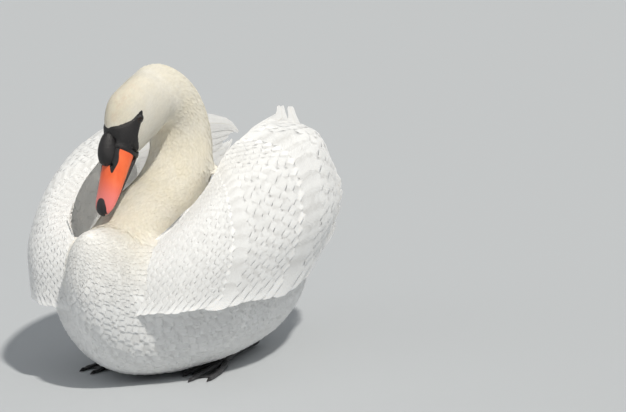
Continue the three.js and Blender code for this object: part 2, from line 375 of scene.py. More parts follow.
def makePlumageTint():
    # cream on the head and neck, white below, with faint stains and a tone for each feather
    group, source, result = newGroup("plumageTint", [
        ("White", "Color", (0.95, 0.945, 0.93, 1)), ("Cream", "Color", (0.90, 0.825, 0.64, 1)),
        ("Stain", "Color", (0.78, 0.56, 0.40, 1))], [("Color", "Color"), ("Grain", "Float")])
    wire = Nodes(group)
    spot = wire.add("ShaderNodeTexCoord").outputs["Object"]
    tone = wire.add("ShaderNodeAttribute", {"attribute_name": "plumage"})
    parts = wire.add("ShaderNodeSeparateColor", None, Color=tone.outputs["Color"])
    patches = wire.noise(spot, 34.0, 4.0, 0.6)
    fine = wire.noise(spot, 260.0, 3.0, 0.6)
    cream = wire.math("MULTIPLY", parts.outputs[0], wire.remap(patches, 0.25, 0.7, 0.84, 1.10))
    cream = wire.math("MINIMUM", cream, 1.0)
    colour = wire.blendColours(cream, source.outputs["White"], source.outputs["Cream"])
    stain = wire.math("MULTIPLY", parts.outputs[1], wire.remap(wire.noise(spot, 90.0, 5.0, 0.7), 0.42, 0.78))
    colour = wire.blendColours(stain, colour, source.outputs["Stain"])
    own = wire.remap(parts.outputs[2], 0, 1, 0.965, 1.01)
    shade = wire.math("ADD", wire.remap(fine, 0.2, 0.8, -0.02, 0.02), own)
    grey = wire.add("ShaderNodeCombineColor", None, i0=shade, i1=shade, i2=shade).outputs[0]
    wire.feed(result.inputs["Color"], wire.blendColours(1.0, colour, grey, "MULTIPLY"))
    wire.feed(result.inputs["Grain"], fine)
    return group


def makeBarbs():
    # barbs that run out from the shaft towards the tip, on the vane's own map
    group, source, result = newGroup("featherBarbs", [("Barbs", "Float", 60.0), ("Slant", "Float", 0.8)],
                                     [("Height", "Float"), ("Shaft", "Float"), ("Edge", "Float")])
    wire = Nodes(group)
    place = wire.add("ShaderNodeUVMap", {"uv_map": "vane"}).outputs[0]
    parts = wire.add("ShaderNodeSeparateXYZ", None, Vector=place)
    across = wire.math("ABSOLUTE", wire.math("SUBTRACT", parts.outputs[0], 0.5))
    wobble = wire.noise(place, 7.0, 2.0, 0.5)
    run = wire.math("SUBTRACT", parts.outputs[1], wire.math("MULTIPLY", across, source.outputs["Slant"]))
    run = wire.math("ADD", run, wire.math("MULTIPLY", wobble, 0.05))
    turns = wire.math("MULTIPLY", source.outputs["Barbs"], 6.283)
    wave = wire.math("SINE", wire.math("MULTIPLY", run, turns))
    wire.feed(result.inputs["Height"], wire.math("ADD", wire.math("MULTIPLY", wave, 0.5), 0.5))
    wire.feed(result.inputs["Shaft"], wire.remap(across, 0.035, 0.012))
    wire.feed(result.inputs["Edge"], wire.remap(across, 0.34, 0.5))
    return group


def makeSkinGrain():
    # pores and fine creases of bare skin and horn
    entries = [("Scale", "Float", 300.0), ("Stretch", "Vector", (1, 1, 1))]
    group, source, result = newGroup("hornGrain", entries, [("Height", "Float"), ("Patch", "Float")])
    wire = Nodes(group)
    spot = wire.add("ShaderNodeTexCoord").outputs["Object"]
    spot = wire.add("ShaderNodeVectorMath", {"operation": "MULTIPLY"}, i0=spot, i1=source.outputs["Stretch"])
    cells = wire.add("ShaderNodeTexVoronoi", None, Vector=spot.outputs[0], Scale=source.outputs["Scale"])
    patch = wire.noise(spot.outputs[0], 45.0, 5.0, 0.6)
    fine = wire.noise(spot.outputs[0], 900.0, 2.0, 0.5)
    pores = wire.math("MULTIPLY", cells.outputs["Distance"], 0.7)
    wire.feed(result.inputs["Height"], wire.math("ADD", pores, wire.math("MULTIPLY", fine, 0.3)))
    wire.feed(result.inputs["Patch"], patch)
    return group


inkBlack = (0.012, 0.011, 0.012, 1)
plumageTint = makePlumageTint()
featherBarbs = makeBarbs()
hornGrain = makeSkinGrain()


def newMaterial(name, **settings):
    material = bpy.data.materials.new(name)
    material.use_nodes = True
    wire = Nodes(material.node_tree)
    shader = material.node_tree.nodes["Principled BSDF"]
    for key, value in settings.items():
        shader.inputs[key.replace("_", " ")].default_value = value
    return material, wire, shader


def useGroup(wire, group, **inputs):
    node = wire.add("ShaderNodeGroup", {"node_tree": group})
    for key, value in inputs.items():
        wire.feed(node.inputs[key], value)
    return node


def makePlumage(name, barbs, slant, bump, distance, shaft):
    material, wire, shader = newMaterial(
        name, Roughness=0.75, Sheen_Weight=0.12, Sheen_Roughness=0.5, Specular_IOR_Level=0.2,
        Subsurface_Weight=0.3, Subsurface_Scale=0.005, Subsurface_Radius=(1.0, 0.92, 0.84))
    tint = useGroup(wire, plumageTint)
    vane = useGroup(wire, featherBarbs, Barbs=barbs, Slant=slant)
    quill = wire.math("MULTIPLY", vane.outputs["Shaft"], shaft)
    colour = wire.blendColours(quill, tint.outputs["Color"], (0.84, 0.82, 0.76, 1))
    wire.feed(shader.inputs["Base Color"], colour)
    height = wire.math("ADD", vane.outputs["Height"], wire.math("MULTIPLY", tint.outputs["Grain"], 0.8))
    height = wire.math("ADD", height, quill)
    wire.bump(shader, height, bump, distance)
    wire.feed(shader.inputs["Roughness"], wire.remap(tint.outputs["Grain"], 0.2, 0.8, 0.66, 0.86))
    return material


def makeSkinMaterial():
    material, wire, shader = newMaterial("downySkin", Sheen_Weight=0.15, Specular_IOR_Level=0.2)
    tint = useGroup(wire, plumageTint)
    bare = wire.add("ShaderNodeAttribute", {"attribute_name": "bare"}).outputs["Fac"]
    wire.feed(shader.inputs["Base Color"], wire.blendColours(bare, tint.outputs["Color"], inkBlack))
    wire.feed(shader.inputs["Roughness"], wire.remap(tint.outputs["Grain"], 0.2, 0.8, 0.75, 0.95))
    wire.bump(shader, tint.outputs["Grain"], 0.6, 0.001)
    return material


def makeBillOrange():
    material, wire, shader = newMaterial("orangeHorn", Coat_Weight=0.18, Coat_Roughness=0.3,
                                         Specular_IOR_Level=0.45)
    ink = wire.add("ShaderNodeAttribute", {"attribute_name": "ink"})
    parts = wire.add("ShaderNodeSeparateColor", None, Color=ink.outputs["Color"])
    grain = useGroup(wire, hornGrain, Scale=420.0, Stretch=(1, 1, 0.5))
    patch = wire.remap(grain.outputs["Patch"], 0.3, 0.7)
    base = wire.blendColours(patch, (0.80, 0.105, 0.028, 1), (0.90, 0.17, 0.05, 1))
    base = wire.blendColours(parts.outputs[1], base, (0.80, 0.21, 0.19, 1))
    ragged = wire.math("MULTIPLY", wire.math("SUBTRACT", grain.outputs["Patch"], 0.5), 0.5)
    edge = wire.remap(wire.math("ADD", parts.outputs[0], ragged), 0.42, 0.58)
    wire.feed(shader.inputs["Base Color"], wire.blendColours(edge, base, inkBlack))
    wire.feed(shader.inputs["Roughness"], wire.remap(grain.outputs["Patch"], 0.2, 0.8, 0.34, 0.52))
    wire.bump(shader, grain.outputs["Height"], 0.35, 0.0006)
    return material


def makeBareBlack(name, light, scale, bump):
    material, wire, shader = newMaterial(name, Specular_IOR_Level=0.5)
    grain = useGroup(wire, hornGrain, Scale=scale, Stretch=(1, 1, 1))
    dark = tuple(0.35 * value for value in light)
    base = wire.blendColours(wire.remap(grain.outputs["Patch"], 0.3, 0.75), (*dark, 1), (*light, 1))
    wire.feed(shader.inputs["Base Color"], base)
    wire.feed(shader.inputs["Roughness"], wire.remap(grain.outputs["Patch"], 0.2, 0.8, 0.42, 0.62))
    wire.bump(shader, grain.outputs["Height"], bump, 0.0006)
    return material


def makeWetEye():
    # dark brown iris round a black pupil, each eye centred by its own attribute
    material, wire, shader = newMaterial("wetEye", Coat_Weight=0.6, Coat_Roughness=0.02,
                                         Specular_IOR_Level=0.3)
    ring = wire.add("ShaderNodeAttribute", {"attribute_name": "iris"})
    away = wire.add("ShaderNodeSeparateColor", None, Color=ring.outputs["Color"]).outputs[0]
    spot = wire.add("ShaderNodeTexCoord").outputs["Object"]
    streak = wire.noise(spot, 900.0, 4.0, 0.7)
    iris = wire.blendColours(wire.remap(streak, 0.3, 0.7), (0.012, 0.005, 0.002, 1), (0.040, 0.016, 0.006, 1))
    colour = wire.blendColours(wire.remap(away, 0.40, 0.46), (0.002, 0.002, 0.002, 1), iris)
    colour = wire.blendColours(wire.remap(away, 0.80, 0.92), colour, (0.006, 0.004, 0.003, 1))
    wire.feed(shader.inputs["Base Color"], colour)
    wire.feed(shader.inputs["Roughness"], wire.remap(streak, 0.2, 0.8, 0.04, 0.09))
    return material


softPlumage = makePlumage("softPlumage", 9.0, 0.9, 0.22, 0.0003, 0.0)
bodyPlumage = makePlumage("bodyPlumage", 16.0, 0.8, 0.28, 0.0004, 0.10)
quillPlumage = makePlumage("quillPlumage", 90.0, 0.35, 0.5, 0.0005, 0.8)
downySkin = makeSkinMaterial()
orangeHorn = makeBillOrange()
blackHorn = makeBareBlack("blackHorn", (0.030, 0.028, 0.030), 520.0, 0.45)
bareFace = makeBareBlack("bareFaceSkin", (0.022, 0.020, 0.021), 760.0, 0.8)
footLeather = makeBareBlack("footLeather", (0.060, 0.060, 0.064), 420.0, 0.9)
wetEye = makeWetEye()
print("materials ready")

# markings, used by the skin and by every feather root
marks = {
    "neckLine": [(0, -0.218, 0.109), (0.002, -0.212, 0.151), (0.011, -0.172, 0.189),
                 (0.023, -0.114, 0.223), (0.030, -0.084, 0.269), (0.028, -0.086, 0.318),
                 (0.025, -0.118, 0.352), (0.018, -0.153, 0.356)],
}


def neckStretches(points):
    # each stretch of the neck's middle line with the share along it, the offset and the gap of every point
    line = np.array(marks["neckLine"])
    for a, b in zip(line[:-1], line[1:]):
        t = np.clip(((points - a) @ (b - a)) / ((b - a) @ (b - a)), 0, 1)
        away = points - (a + t[:, None] * (b - a))
        yield a, b, t, away, np.linalg.norm(away, axis=1)


def plumageTone(points, names, seed):
    # red: cream, green: stain, blue: a tone for each feather
    local = toHead(points)
    neckRun = np.full(len(points), 9.0)
    for _, _, _, _, gap in neckStretches(points):
        neckRun = np.minimum(neckRun, gap)
    isHead = (names == "head").astype(float)
    isNeck = (names == "neck").astype(float)
    high = ease(0.165, 0.235, points[:, 2])
    cream = isHead * (0.55 + 0.30 * ease(-8, 26, local[:, 2])) + isNeck * (0.42 + 0.34 * high)
    front = ease(-0.145, -0.215, points[:, 1])
    cream += isNeck * (1 - high) * 0.40 * front
    low = (names == "trunk") * ease(0.105, 0.045, neckRun) * ease(0.115, 0.200, points[:, 2])
    cream = np.clip(cream + 0.62 * low, 0, 1)
    stain = isNeck * 0.34 * (1 - high) + isHead * 0.42 * ease(6, 26, local[:, 2]) + 0.22 * low
    rng = np.random.default_rng(seed)
    return np.stack([cream, np.clip(stain, 0, 1), rng.random(len(points)), np.ones(len(points))], 1)


def paint(mesh, name, values):
    layer = mesh.color_attributes.new(name, "FLOAT_COLOR", "POINT")
    layer.data.foreach_set("color", np.ascontiguousarray(values, dtype=np.float32).ravel())


skinPoints = meshPoints(body.data)
skinNormals = meshNormals(body.data)
skinTone = plumageTone(skinPoints, regionNames, 3)
for _ in range(24):
    skinTone[:, :2] += 0.7 * (neighbourMean(skinTone[:, :2], skinEdges, skinCounts) - skinTone[:, :2])
skinTone[:, 2] = 0.5
paint(body.data, "plumage", skinTone)
body.data.polygons.foreach_set("use_smooth", np.ones(len(body.data.polygons), bool))
skinTree = BVHTree.FromObject(body, bpy.context.evaluated_depsgraph_get())
print("markings painted")

# bill: lofted ring by ring in the head frame, tip first
bill = {
    # at, half width, top, low, mid
    "upper": [(-123.5, 4.5, -16.5, -20.5, -18.5), (-122, 9, -14.4, -21.6, -18.2),
              (-118.5, 13, -12.6, -22.7, -18),
              (-111, 16, -9.8, -24.3, -17.6), (-103, 16.8, -7.4, -25.2, -17.2), (-95, 17.2, -5, -26, -17),
              (-86, 17.3, -2.4, -26.3, -16), (-78, 17.4, 0, -26.5, -15), (-69, 17.7, 3.1, -26.5, -14),
              (-60, 18, 6.1, -26.5, -13), (-50, 18.4, 8.6, -26.2, -12.2), (-41, 18.8, 10.4, -25.8, -11.4),
              (-33, 19, 11.2, -25.4, -11)],
    "lower": [(-118.5, 5, -20.5, -23.3, -21.8), (-116, 9.2, -20, -25, -22.2),
              (-108, 11.2, -20.4, -26.9, -23.2),
              (-95, 11.6, -21, -28.4, -24), (-80, 11.9, -21, -29.6, -24.6), (-66, 12.6, -21, -30.6, -25),
              (-52, 13.6, -21, -31.6, -25.2), (-34, 15.2, -21, -32.8, -25.4)],
    "nail": [(-125.2, 2.4, -17.4, -21, -19.2), (-124.4, 5, -15, -22.6, -18.4), (-122, 7, -12.4, -20, -16),
             (-117, 7.8, -10, -16, -13), (-112, 7.6, -8.4, -13, -11), (-108, 6, -7.8, -11, -9.6),
             (-105.4, 3, -7.8, -9.2, -8.5)],
    "knob": [(-66, 3.2, 8.0, 1.5, 4.6), (-64.8, 6.2, 11.0, -1, 5.2), (-61.5, 8.8, 14.8, -2.5, 6.2),
             (-56, 10.6, 18.6, -3, 7.6), (-49, 11.2, 21.4, -2, 9.4), (-41, 10.8, 22.6, 0, 11),
             (-34, 9, 22.4, 4, 12.8), (-27, 5.5, 21, 9, 15.4)],
    "sides": 18,
    "nostril": (10.2, -63, 0.6),
    "baseBand": (-43, -40), "pink": (-72, -108),        # where the black base and the pink tip set in
    "nostrilMark": (9.6, -56), "nailMark": (8.6, 10.5, -115.5),
    "drawBack": 0.949, "drawFrom": -45,                 # the tip comes 4 mm nearer
}


def shortened(rows):
    base = bill["drawFrom"]
    share = bill["drawBack"]
    return [(base + (row[0] - base) * share if row[0] < base else row[0], *row[1:]) for row in rows]


for part in ("upper", "lower", "nail"):
    bill[part] = shortened(bill[part])


def pickRing(mesh, at, above=None, centre=0.0):
    cage = bmesh.from_edit_mesh(mesh)
    for vert in cage.verts:
        inRing = abs(vert.co.y - at) < 1e-6
        side = above is None or (vert.co.z > centre + 1e-7) == above
        vert.select = inRing and side and (above is None or abs(vert.co.z - centre) > 1e-7)
    cage.select_flush(True)
    bmesh.update_edit_mesh(mesh)


def loft(name, rows, sides):
    deselectAll()
    rows = [tuple(value * mm for value in row) for row in rows]
    at, half, top, low, mid = rows[0]
    bpy.ops.mesh.primitive_circle_add(vertices=sides, radius=half, fill_type="NGON", location=(0, at, mid),
                                      rotation=(math.pi / 2, 0, 0))
    thing = bpy.context.object
    thing.name = name
    bpy.ops.object.transform_apply(location=True, rotation=True, scale=True)
    bpy.ops.object.mode_set(mode="EDIT")
    bpy.ops.mesh.select_mode(type="VERT")
    sizes = (half, half, half)
    for k, (at, half, top, low, mid) in enumerate(rows):
        if k:
            pickRing(thing.data, rows[k - 1][0])
            bpy.ops.mesh.extrude_region_move(
                TRANSFORM_OT_translate={"value": (0, at - rows[k - 1][0], mid - rows[k - 1][4])})
        pickRing(thing.data, at)
        bpy.ops.transform.resize(value=(half / sizes[0], 1, 1), center_override=(0, at, mid))
        pickRing(thing.data, at, True, mid)
        bpy.ops.transform.resize(value=(1, 1, (top - mid) / sizes[1]), center_override=(0, at, mid))
        pickRing(thing.data, at, False, mid)
        bpy.ops.transform.resize(value=(1, 1, (mid - low) / sizes[2]), center_override=(0, at, mid))
        sizes = (half, top - mid, mid - low)
    turnFacesOut()
    bpy.ops.mesh.select_all(action="DESELECT")
    return thing


def finishForm(thing, levels=2, place=None):
    bpy.ops.object.mode_set(mode="OBJECT")
    rounder = thing.modifiers.new("rounder", "SUBSURF")
    rounder.levels = levels
    rounder.render_levels = levels
    applyAll(thing)
    bpy.ops.object.shade_smooth()
    if place is not None:
        thing.data.transform(place)
    thing.data.update()


def faceNear(mesh, place, side):
    cage = bmesh.from_edit_mesh(mesh)
    goal = Vector((side * place[0] * mm, place[1] * mm, place[2] * mm))
    for face in cage.faces:
        face.select = False
    nearest = min(cage.faces, key=lambda face: (face.calc_center_median() - goal).length)
    nearest.select = True
    bmesh.update_edit_mesh(mesh)


def sinkNostril(mesh, side):
    bpy.ops.mesh.select_mode(type="FACE")
    faceNear(mesh, bill["nostril"], side)
    bpy.ops.mesh.inset(thickness=0.0011)
    bpy.ops.mesh.extrude_region_shrink_fatten(TRANSFORM_OT_shrink_fatten={"value": -0.0016})
    bpy.ops.transform.resize(value=(0.8, 0.8, 0.8))
    bpy.ops.mesh.extrude_region_shrink_fatten(TRANSFORM_OT_shrink_fatten={"value": -0.0022})


def billInk(local):
    # how black each point of the upper bill is
    x, y, z = local.T
    row = np.array(bill["upper"])
    rimLow = np.interp(y, row[:, 0], row[:, 3])
    crest = np.interp(y, row[:, 0], row[:, 2])
    ink = ease(*bill["baseBand"], y + 0.2 * np.abs(x) * ease(8, 2, crest - z))
    ink = np.maximum(ink, ease(2.2, 1.2, z - rimLow) * ease(-120, -108, y))   # along the cutting edge
    markX, markY = bill["nostrilMark"]
    markLong = (y - markY) / 16
    markWide = (np.abs(x) - markX) / (4.6 - 1.6 * ease(-55, -72, y))
    ink = np.maximum(ink, ease(1.12, 0.88, np.hypot(markLong, markWide)) * (z > rimLow + 6))
    ink = np.maximum(ink, ease(-55, -51, y) * ease(8.5, 6.0, crest - z))      # under the knob
    nailX, nailY, nailAt = bill["nailMark"]
    onNail = ease(1.2, 0.95, np.hypot(x / nailX, (y - nailAt) / nailY))
    return np.maximum(ink, onNail * (z > rimLow + 3))


upperBill = loft("billUpper", bill["upper"], bill["sides"])
for sign in (1, -1):
    sinkNostril(upperBill.data, sign)
finishForm(upperBill, 3)
upperLocal = meshPoints(upperBill.data) * 1000
ink, pink = billInk(upperLocal), ease(*bill["pink"], upperLocal[:, 1])
zeros = np.zeros(len(upperLocal))
paint(upperBill.data, "ink", np.stack([ink, pink, zeros, zeros + 1], 1))
upperBill.data.transform(headFrame)
putOn(upperBill, orangeHorn, "orange_bill", "bill_upper")

for part, sides, material in (("lower", bill["sides"], blackHorn), ("nail", 14, blackHorn),
                              ("knob", 18, bareFace)):
    piece = loft("bill" + part.capitalize(), bill[part], sides)
    finishForm(piece, 2, headFrame)
    putOn(piece, material, "black_bill", "bill_" + part)
print("bill ready")

# eyes and lids
eyes = {
    "clearAt": (25.5, -1.6, 0), "clear": 5.2,   # no feathers over the opening
    "radius": 5.8, "apart": 22.5, "look": (0.90, -0.42, 0.12), "cornea": 0.4,
    # radius, out along the look, height share, width share
    "lid": [(3.4, 4.8, 0.90, 1.08), (3.7, 4.95, 0.90, 1.10), (4.1, 4.75, 0.91, 1.12), (4.6, 4.2, 0.92, 1.14),
            (5.2, 3.25, 0.94, 1.16), (5.8, 0.9, 1.0, 1.18)],
}


def makeEye(side, name):
    centre = Vector((side * eyes["apart"], 0, 0)) * mm
    look = Vector((side * eyes["look"][0], eyes["look"][1], eyes["look"][2])).normalized()
    turn = look.to_track_quat("Z", "Y").to_matrix().to_4x4()
    radius = eyes["radius"] * mm
    deselectAll()
    bpy.ops.mesh.primitive_uv_sphere_add(segments=28, ring_count=18, radius=radius, location=(0, 0, 0))
    ball = bpy.context.object
    ball.name = "eyeball" + name
    bpy.ops.object.mode_set(mode="EDIT")
    cage = bmesh.from_edit_mesh(ball.data)
    for vert in cage.verts:
        vert.select = vert.co.z > 0.97 * radius
    cage.select_flush(True)
    bmesh.update_edit_mesh(ball.data)
    bpy.ops.transform.translate(value=(0, 0, eyes["cornea"] * mm), use_proportional_edit=True,
                                proportional_size=0.9 * radius, proportional_edit_falloff="SMOOTH")
    bpy.ops.mesh.select_all(action="DESELECT")
    finishForm(ball, 1)
    points = meshPoints(ball.data)
    away = np.hypot(points[:, 0], points[:, 1]) / (0.86 * radius) + (points[:, 2] < 0) * 2.0
    paint(ball.data, "iris", np.stack([away, away, away, np.ones(len(away))], 1))
    ball.data.transform(headFrame @ Matrix.Translation(centre) @ turn)
    putOn(ball, wetEye, "eye", "eye_" + name.lower())
    # lid: a ring drawn out from the opening to the head
    deselectAll()
    rows = eyes["lid"]
    bpy.ops.mesh.primitive_circle_add(vertices=28, radius=rows[0][0] * mm, fill_type="NOTHING",
                                      location=(0, 0, rows[0][1] * mm))
    lid = bpy.context.object
    lid.name = "eyelid" + name
    bpy.ops.object.transform_apply(location=True, rotation=True, scale=True)
    bpy.ops.object.mode_set(mode="EDIT")
    bpy.ops.mesh.select_all(action="SELECT")
    bpy.ops.transform.resize(value=(rows[0][3], rows[0][2], 1), center_override=(0, 0, rows[0][1] * mm))
    for old, new in zip(rows[:-1], rows[1:]):
        bpy.ops.mesh.extrude_region_move(TRANSFORM_OT_translate={"value": (0, 0, (new[1] - old[1]) * mm)})
        wide, high = new[0] * new[3] / old[0] / old[3], new[0] * new[2] / old[0] / old[2]
        bpy.ops.transform.resize(value=(wide, high, 1), center_override=(0, 0, new[1] * mm))
    turnFacesOut()
    finishForm(lid, 2)
    rim = meshNormals(lid.data)
    if rim[:, 2].mean() < 0:
        lid.data.flip_normals()
    lid.data.transform(headFrame @ Matrix.Translation(centre) @ turn)
    putOn(lid, bareFace, "black_bill")


makeEye(1, "Left")
makeEye(-1, "Right")
print("eyes ready")

# bare black skin of the face, from the bill's base back to the eyes
face = {
    # angle from the crown, where the feathers begin
    "border": [(0, -23.5), (12, -21), (24, -18.5), (38, -13.5), (52, -7.5), (58, -2.5), (62, 2.5), (65, 7),
               (68, 10.5), (71, 10), (75, 6.5), (79, 1.5), (83, -6), (87, -14), (94, -20), (110, -25),
               (135, -29.5), (160, -34), (180, -36)],
    "horn": [(-41.6, -0.6), (-40.6, 0.4), (-39.2, 0.8), (-37.2, 1.0)],   # over the bill's base: at, proud
    "around": 96, "rows": 14, "proud": 1.5, "reach": 75,
}


def makeFace():
    angles = np.linspace(-180, 180, face["around"], endpoint=False)
    rng = np.random.default_rng(11)
    border = np.interp(np.abs(angles), [row[0] for row in face["border"]], [row[1] for row in face["border"]])
    border = border + rng.normal(0, 0.35, len(angles))
    upper = np.array(bill["upper"])
    lower = np.array(bill["lower"])
    points = []
    for angle, edge in zip(angles, border):
        across, up = math.sin(math.radians(angle)), math.cos(math.radians(angle))
        column = []
        for at, proud in face["horn"]:
            at -= 7 * ease(34, 16, abs(angle)) * (-35 - at) / 6
            half, top, mid = (np.interp(at, upper[:, 0], upper[:, k]) for k in (1, 2, 4))
            low = np.interp(at, lower[:, 0], lower[:, 3])
            reach = (top - mid if up > 0 else mid - low) + proud
            column.append(Vector((math.copysign(abs(across) ** 0.92, across) * (half + proud), at,
                                  mid + math.copysign(abs(up) ** 0.92, up) * reach)))
        for k in range(face["rows"]):
            share = (k + 1) / face["rows"]
            at = -35.5 + (edge + 35.5) * share
            start = headFrame @ (Vector((0, at, -7 - 3 * ease(0, -45, at))) * mm)
            aim = headFrame.to_3x3() @ Vector((across, 0, up))
            hit, normal, _, gap = skinTree.ray_cast(start, aim)
            if hit is None or gap > 0.045:
                column.append(column[-1] + Vector((0, 1.2, 0)))
                continue
            lift = face["proud"] * (1 - 0.75 * ease(0.8, 1.0, share)) * mm
            local = headFrame.inverted() @ (hit + normal * lift) * 1000
            column.append(local)
        points.append(column)
    grid = np.array([[tuple(p) for p in column] for column in points])
    for _ in range(3):  # even out the step from horn to skin
        grid[:, 2:8] = 0.5 * grid[:, 2:8] + 0.25 * (grid[:, 1:7] + grid[:, 3:9])
    for _ in range(2):
        beside = np.roll(grid, 1, 0)[:, 3:-1] + np.roll(grid, -1, 0)[:, 3:-1]
        grid[:, 3:-1] = 0.5 * grid[:, 3:-1] + 0.25 * beside
    count, depth = grid.shape[:2]
    quads = [(i * depth + j, (i + 1) % count * depth + j, (i + 1) % count * depth + j + 1, i * depth + j + 1)
             for i in range(count) for j in range(depth - 1)]
    thing = addMesh("faceSkin", [tuple(p) for p in (grid.reshape(-1, 3) * mm)], quads)
    pickOnly(thing)
    bpy.ops.object.mode_set(mode="EDIT")
    turnFacesOut()
    finishForm(thing, 1, headFrame)
    putOn(thing, bareFace, "black_bill")


def bareEdgeAt(local):
    # how far back the bare skin reaches at each place of the head frame, mm
    angle = np.degrees(np.arctan2(np.abs(local[:, 0]), local[:, 2] + 7))
    return np.interp(angle, [row[0] for row in face["border"]], [row[1] for row in face["border"]])


def sinkUnderFace():
    # under the bare patch the skin is black and lies a little deeper
    local = toHead(skinPoints)
    near = (np.linalg.norm(local, axis=1) < face["reach"]) & (regionNames == "head")
    depth = ease(0.4, 3.0, bareEdgeAt(local) - local[:, 1]) * near
    setPoints(body.data, skinPoints - skinNormals * (depth * 0.0022)[:, None])
    paint(body.data, "bare", np.stack([depth, depth, depth, np.ones(len(depth))], 1))


makeFace()
sinkUnderFace()
print("face ready")

# the wing's outer form, for the rows of feathers on it
wing = {
    # height above the floor; along each guide from the leading edge to the rear edge
    "rim": [(22, -252, 107), (100, -230, 112), (150, -130, 117), (158, 10, 119), (128, 196, 135)],
    "flank": [(28, -248, 147), (110, -216, 165), (160, -110, 181), (174, 60, 201), (122, 250, 203)],
    "shoulder": [(46, -228, 173), (102, -190, 211), (134, -85, 257), (147, 80, 286), (80, 263, 268)],
    "ridge": [(74, -195, 205), (83, -130, 241), (81, -50, 282), (91, 10, 303), (90, 102, 313)],
    "grid": (121, 81),
}


def splinePoint(points, t):
    # centripetal spline through points, t from 0 to 1
    last = len(points) - 1
    k = min(int(t * last), last - 1)
    w = t * last - k
    p1, p2 = points[k], points[k + 1]
    p0 = points[k - 1] if k > 0 else 2 * p1 - p2
    p3 = points[k + 2] if k + 2 <= last else 2 * p2 - p1
    d0, d1, d2 = (max(np.linalg.norm(b - a), 1e-8) ** 0.5 for a, b in ((p0, p1), (p1, p2), (p2, p3)))
    s1 = ((p1 - p0) / d0 - (p2 - p0) / (d0 + d1) + (p2 - p1) / d1) * d1
    s2 = ((p2 - p1) / d1 - (p3 - p1) / (d1 + d2) + (p3 - p2) / d2) * d1
    return p1 + s1 * w + (-3 * p1 + 3 * p2 - 2 * s1 - s2) * w * w + (2 * p1 - 2 * p2 + s1 + s2) * w ** 3


def wingTable():
    lines = [np.array(wing[name], float) * mm for name in ("rim", "flank", "shoulder", "ridge")]
    table = np.empty((*wing["grid"], 3))
    for i, p in enumerate(np.linspace(0, 1, wing["grid"][0])):
        section = [splinePoint(line, p) for line in lines]
        for j, q in enumerate(np.linspace(0, 1, wing["grid"][1])):
            table[i, j] = splinePoint(section, q)
    return table


wingGrid = wingTable()


def gridAt(p, q):
    rows, cols = wing["grid"]
    a = np.clip(p, 0, 1) * (rows - 1)
    b = np.clip(q, 0, 1) * (cols - 1)
    i = np.minimum(a.astype(int), rows - 2)
    j = np.minimum(b.astype(int), cols - 2)
    u, v = (a - i)[..., None], (b - j)[..., None]
    return ((1 - u) * ((1 - v) * wingGrid[i, j] + v * wingGrid[i, j + 1])
            + u * ((1 - v) * wingGrid[i + 1, j] + v * wingGrid[i + 1, j + 1]))


def wingAt(p, q):
    # place and outward normal on the left wing; it runs on straight past its edges
    p, q = np.broadcast_arrays(np.asarray(p, float), np.asarray(q, float))
    step = 0.02
    zero = p * 0
    past = ((np.maximum(p - 1, 0), gridAt(zero + 1, q) - gridAt(zero + 1 - step, q)),
            (np.minimum(p, 0), gridAt(zero + step, q) - gridAt(zero, q)),
            (np.maximum(q - 1, 0), gridAt(p, zero + 1) - gridAt(p, zero + 1 - step)),
            (np.minimum(q, 0), gridAt(p, zero + step) - gridAt(p, zero)))
    place = gridAt(p, q)
    for run, slope in past:
        place = place + run[..., None] * slope / step
    slopeP = gridAt(np.clip(p + step, step, 1), q) - gridAt(np.clip(p - step, 0, 1 - step), q)
    slopeQ = gridAt(p, np.clip(q + step, step, 1)) - gridAt(p, np.clip(q - step, 0, 1 - step))
    return place, unit(np.cross(slopeP, slopeQ))


# vanes: every feather is a small cupped sheet of faces
vane = {
    # share of the length, share of the width, at each cross row
    "soft": {"rows": [(0.0, 0.50), (0.36, 1.0), (0.72, 0.66), (1.0, 0.08)], "across": [-1, 0, 1],
             "round": 0.16},
    "body": {"rows": [(0.0, 0.40), (0.25, 0.86), (0.52, 1.0), (0.75, 0.90), (0.90, 0.62), (1.0, 0.22)],
             "across": [-1, -0.5, 0, 0.5, 1], "round": 0.10},
    "covert": {"rows": [(0.0, 0.35), (0.25, 0.80), (0.5, 0.98), (0.72, 0.98), (0.86, 0.82), (0.95, 0.54),
                        (1.0, 0.24)],
               "across": [-1, -0.6, -0.2, 0.2, 0.6, 1], "round": 0.07},
}


bakePatch = 0.003          # each feather's own square on the bake map


def vaneShape(kind):
    # share along and share across at each grid point, with a rounded tip
    shape = vane[kind]
    s = np.array([row[0] for row in shape["rows"]])
    w = np.array([row[1] for row in shape["rows"]])
    t = np.array(shape["across"], float)
    alongShare = s[:, None] - shape["round"] * (t ** 2)[None, :] * (s ** 3)[:, None]
    acrossShare = w[:, None] * t[None, :]
    return alongShare, acrossShare, s, t


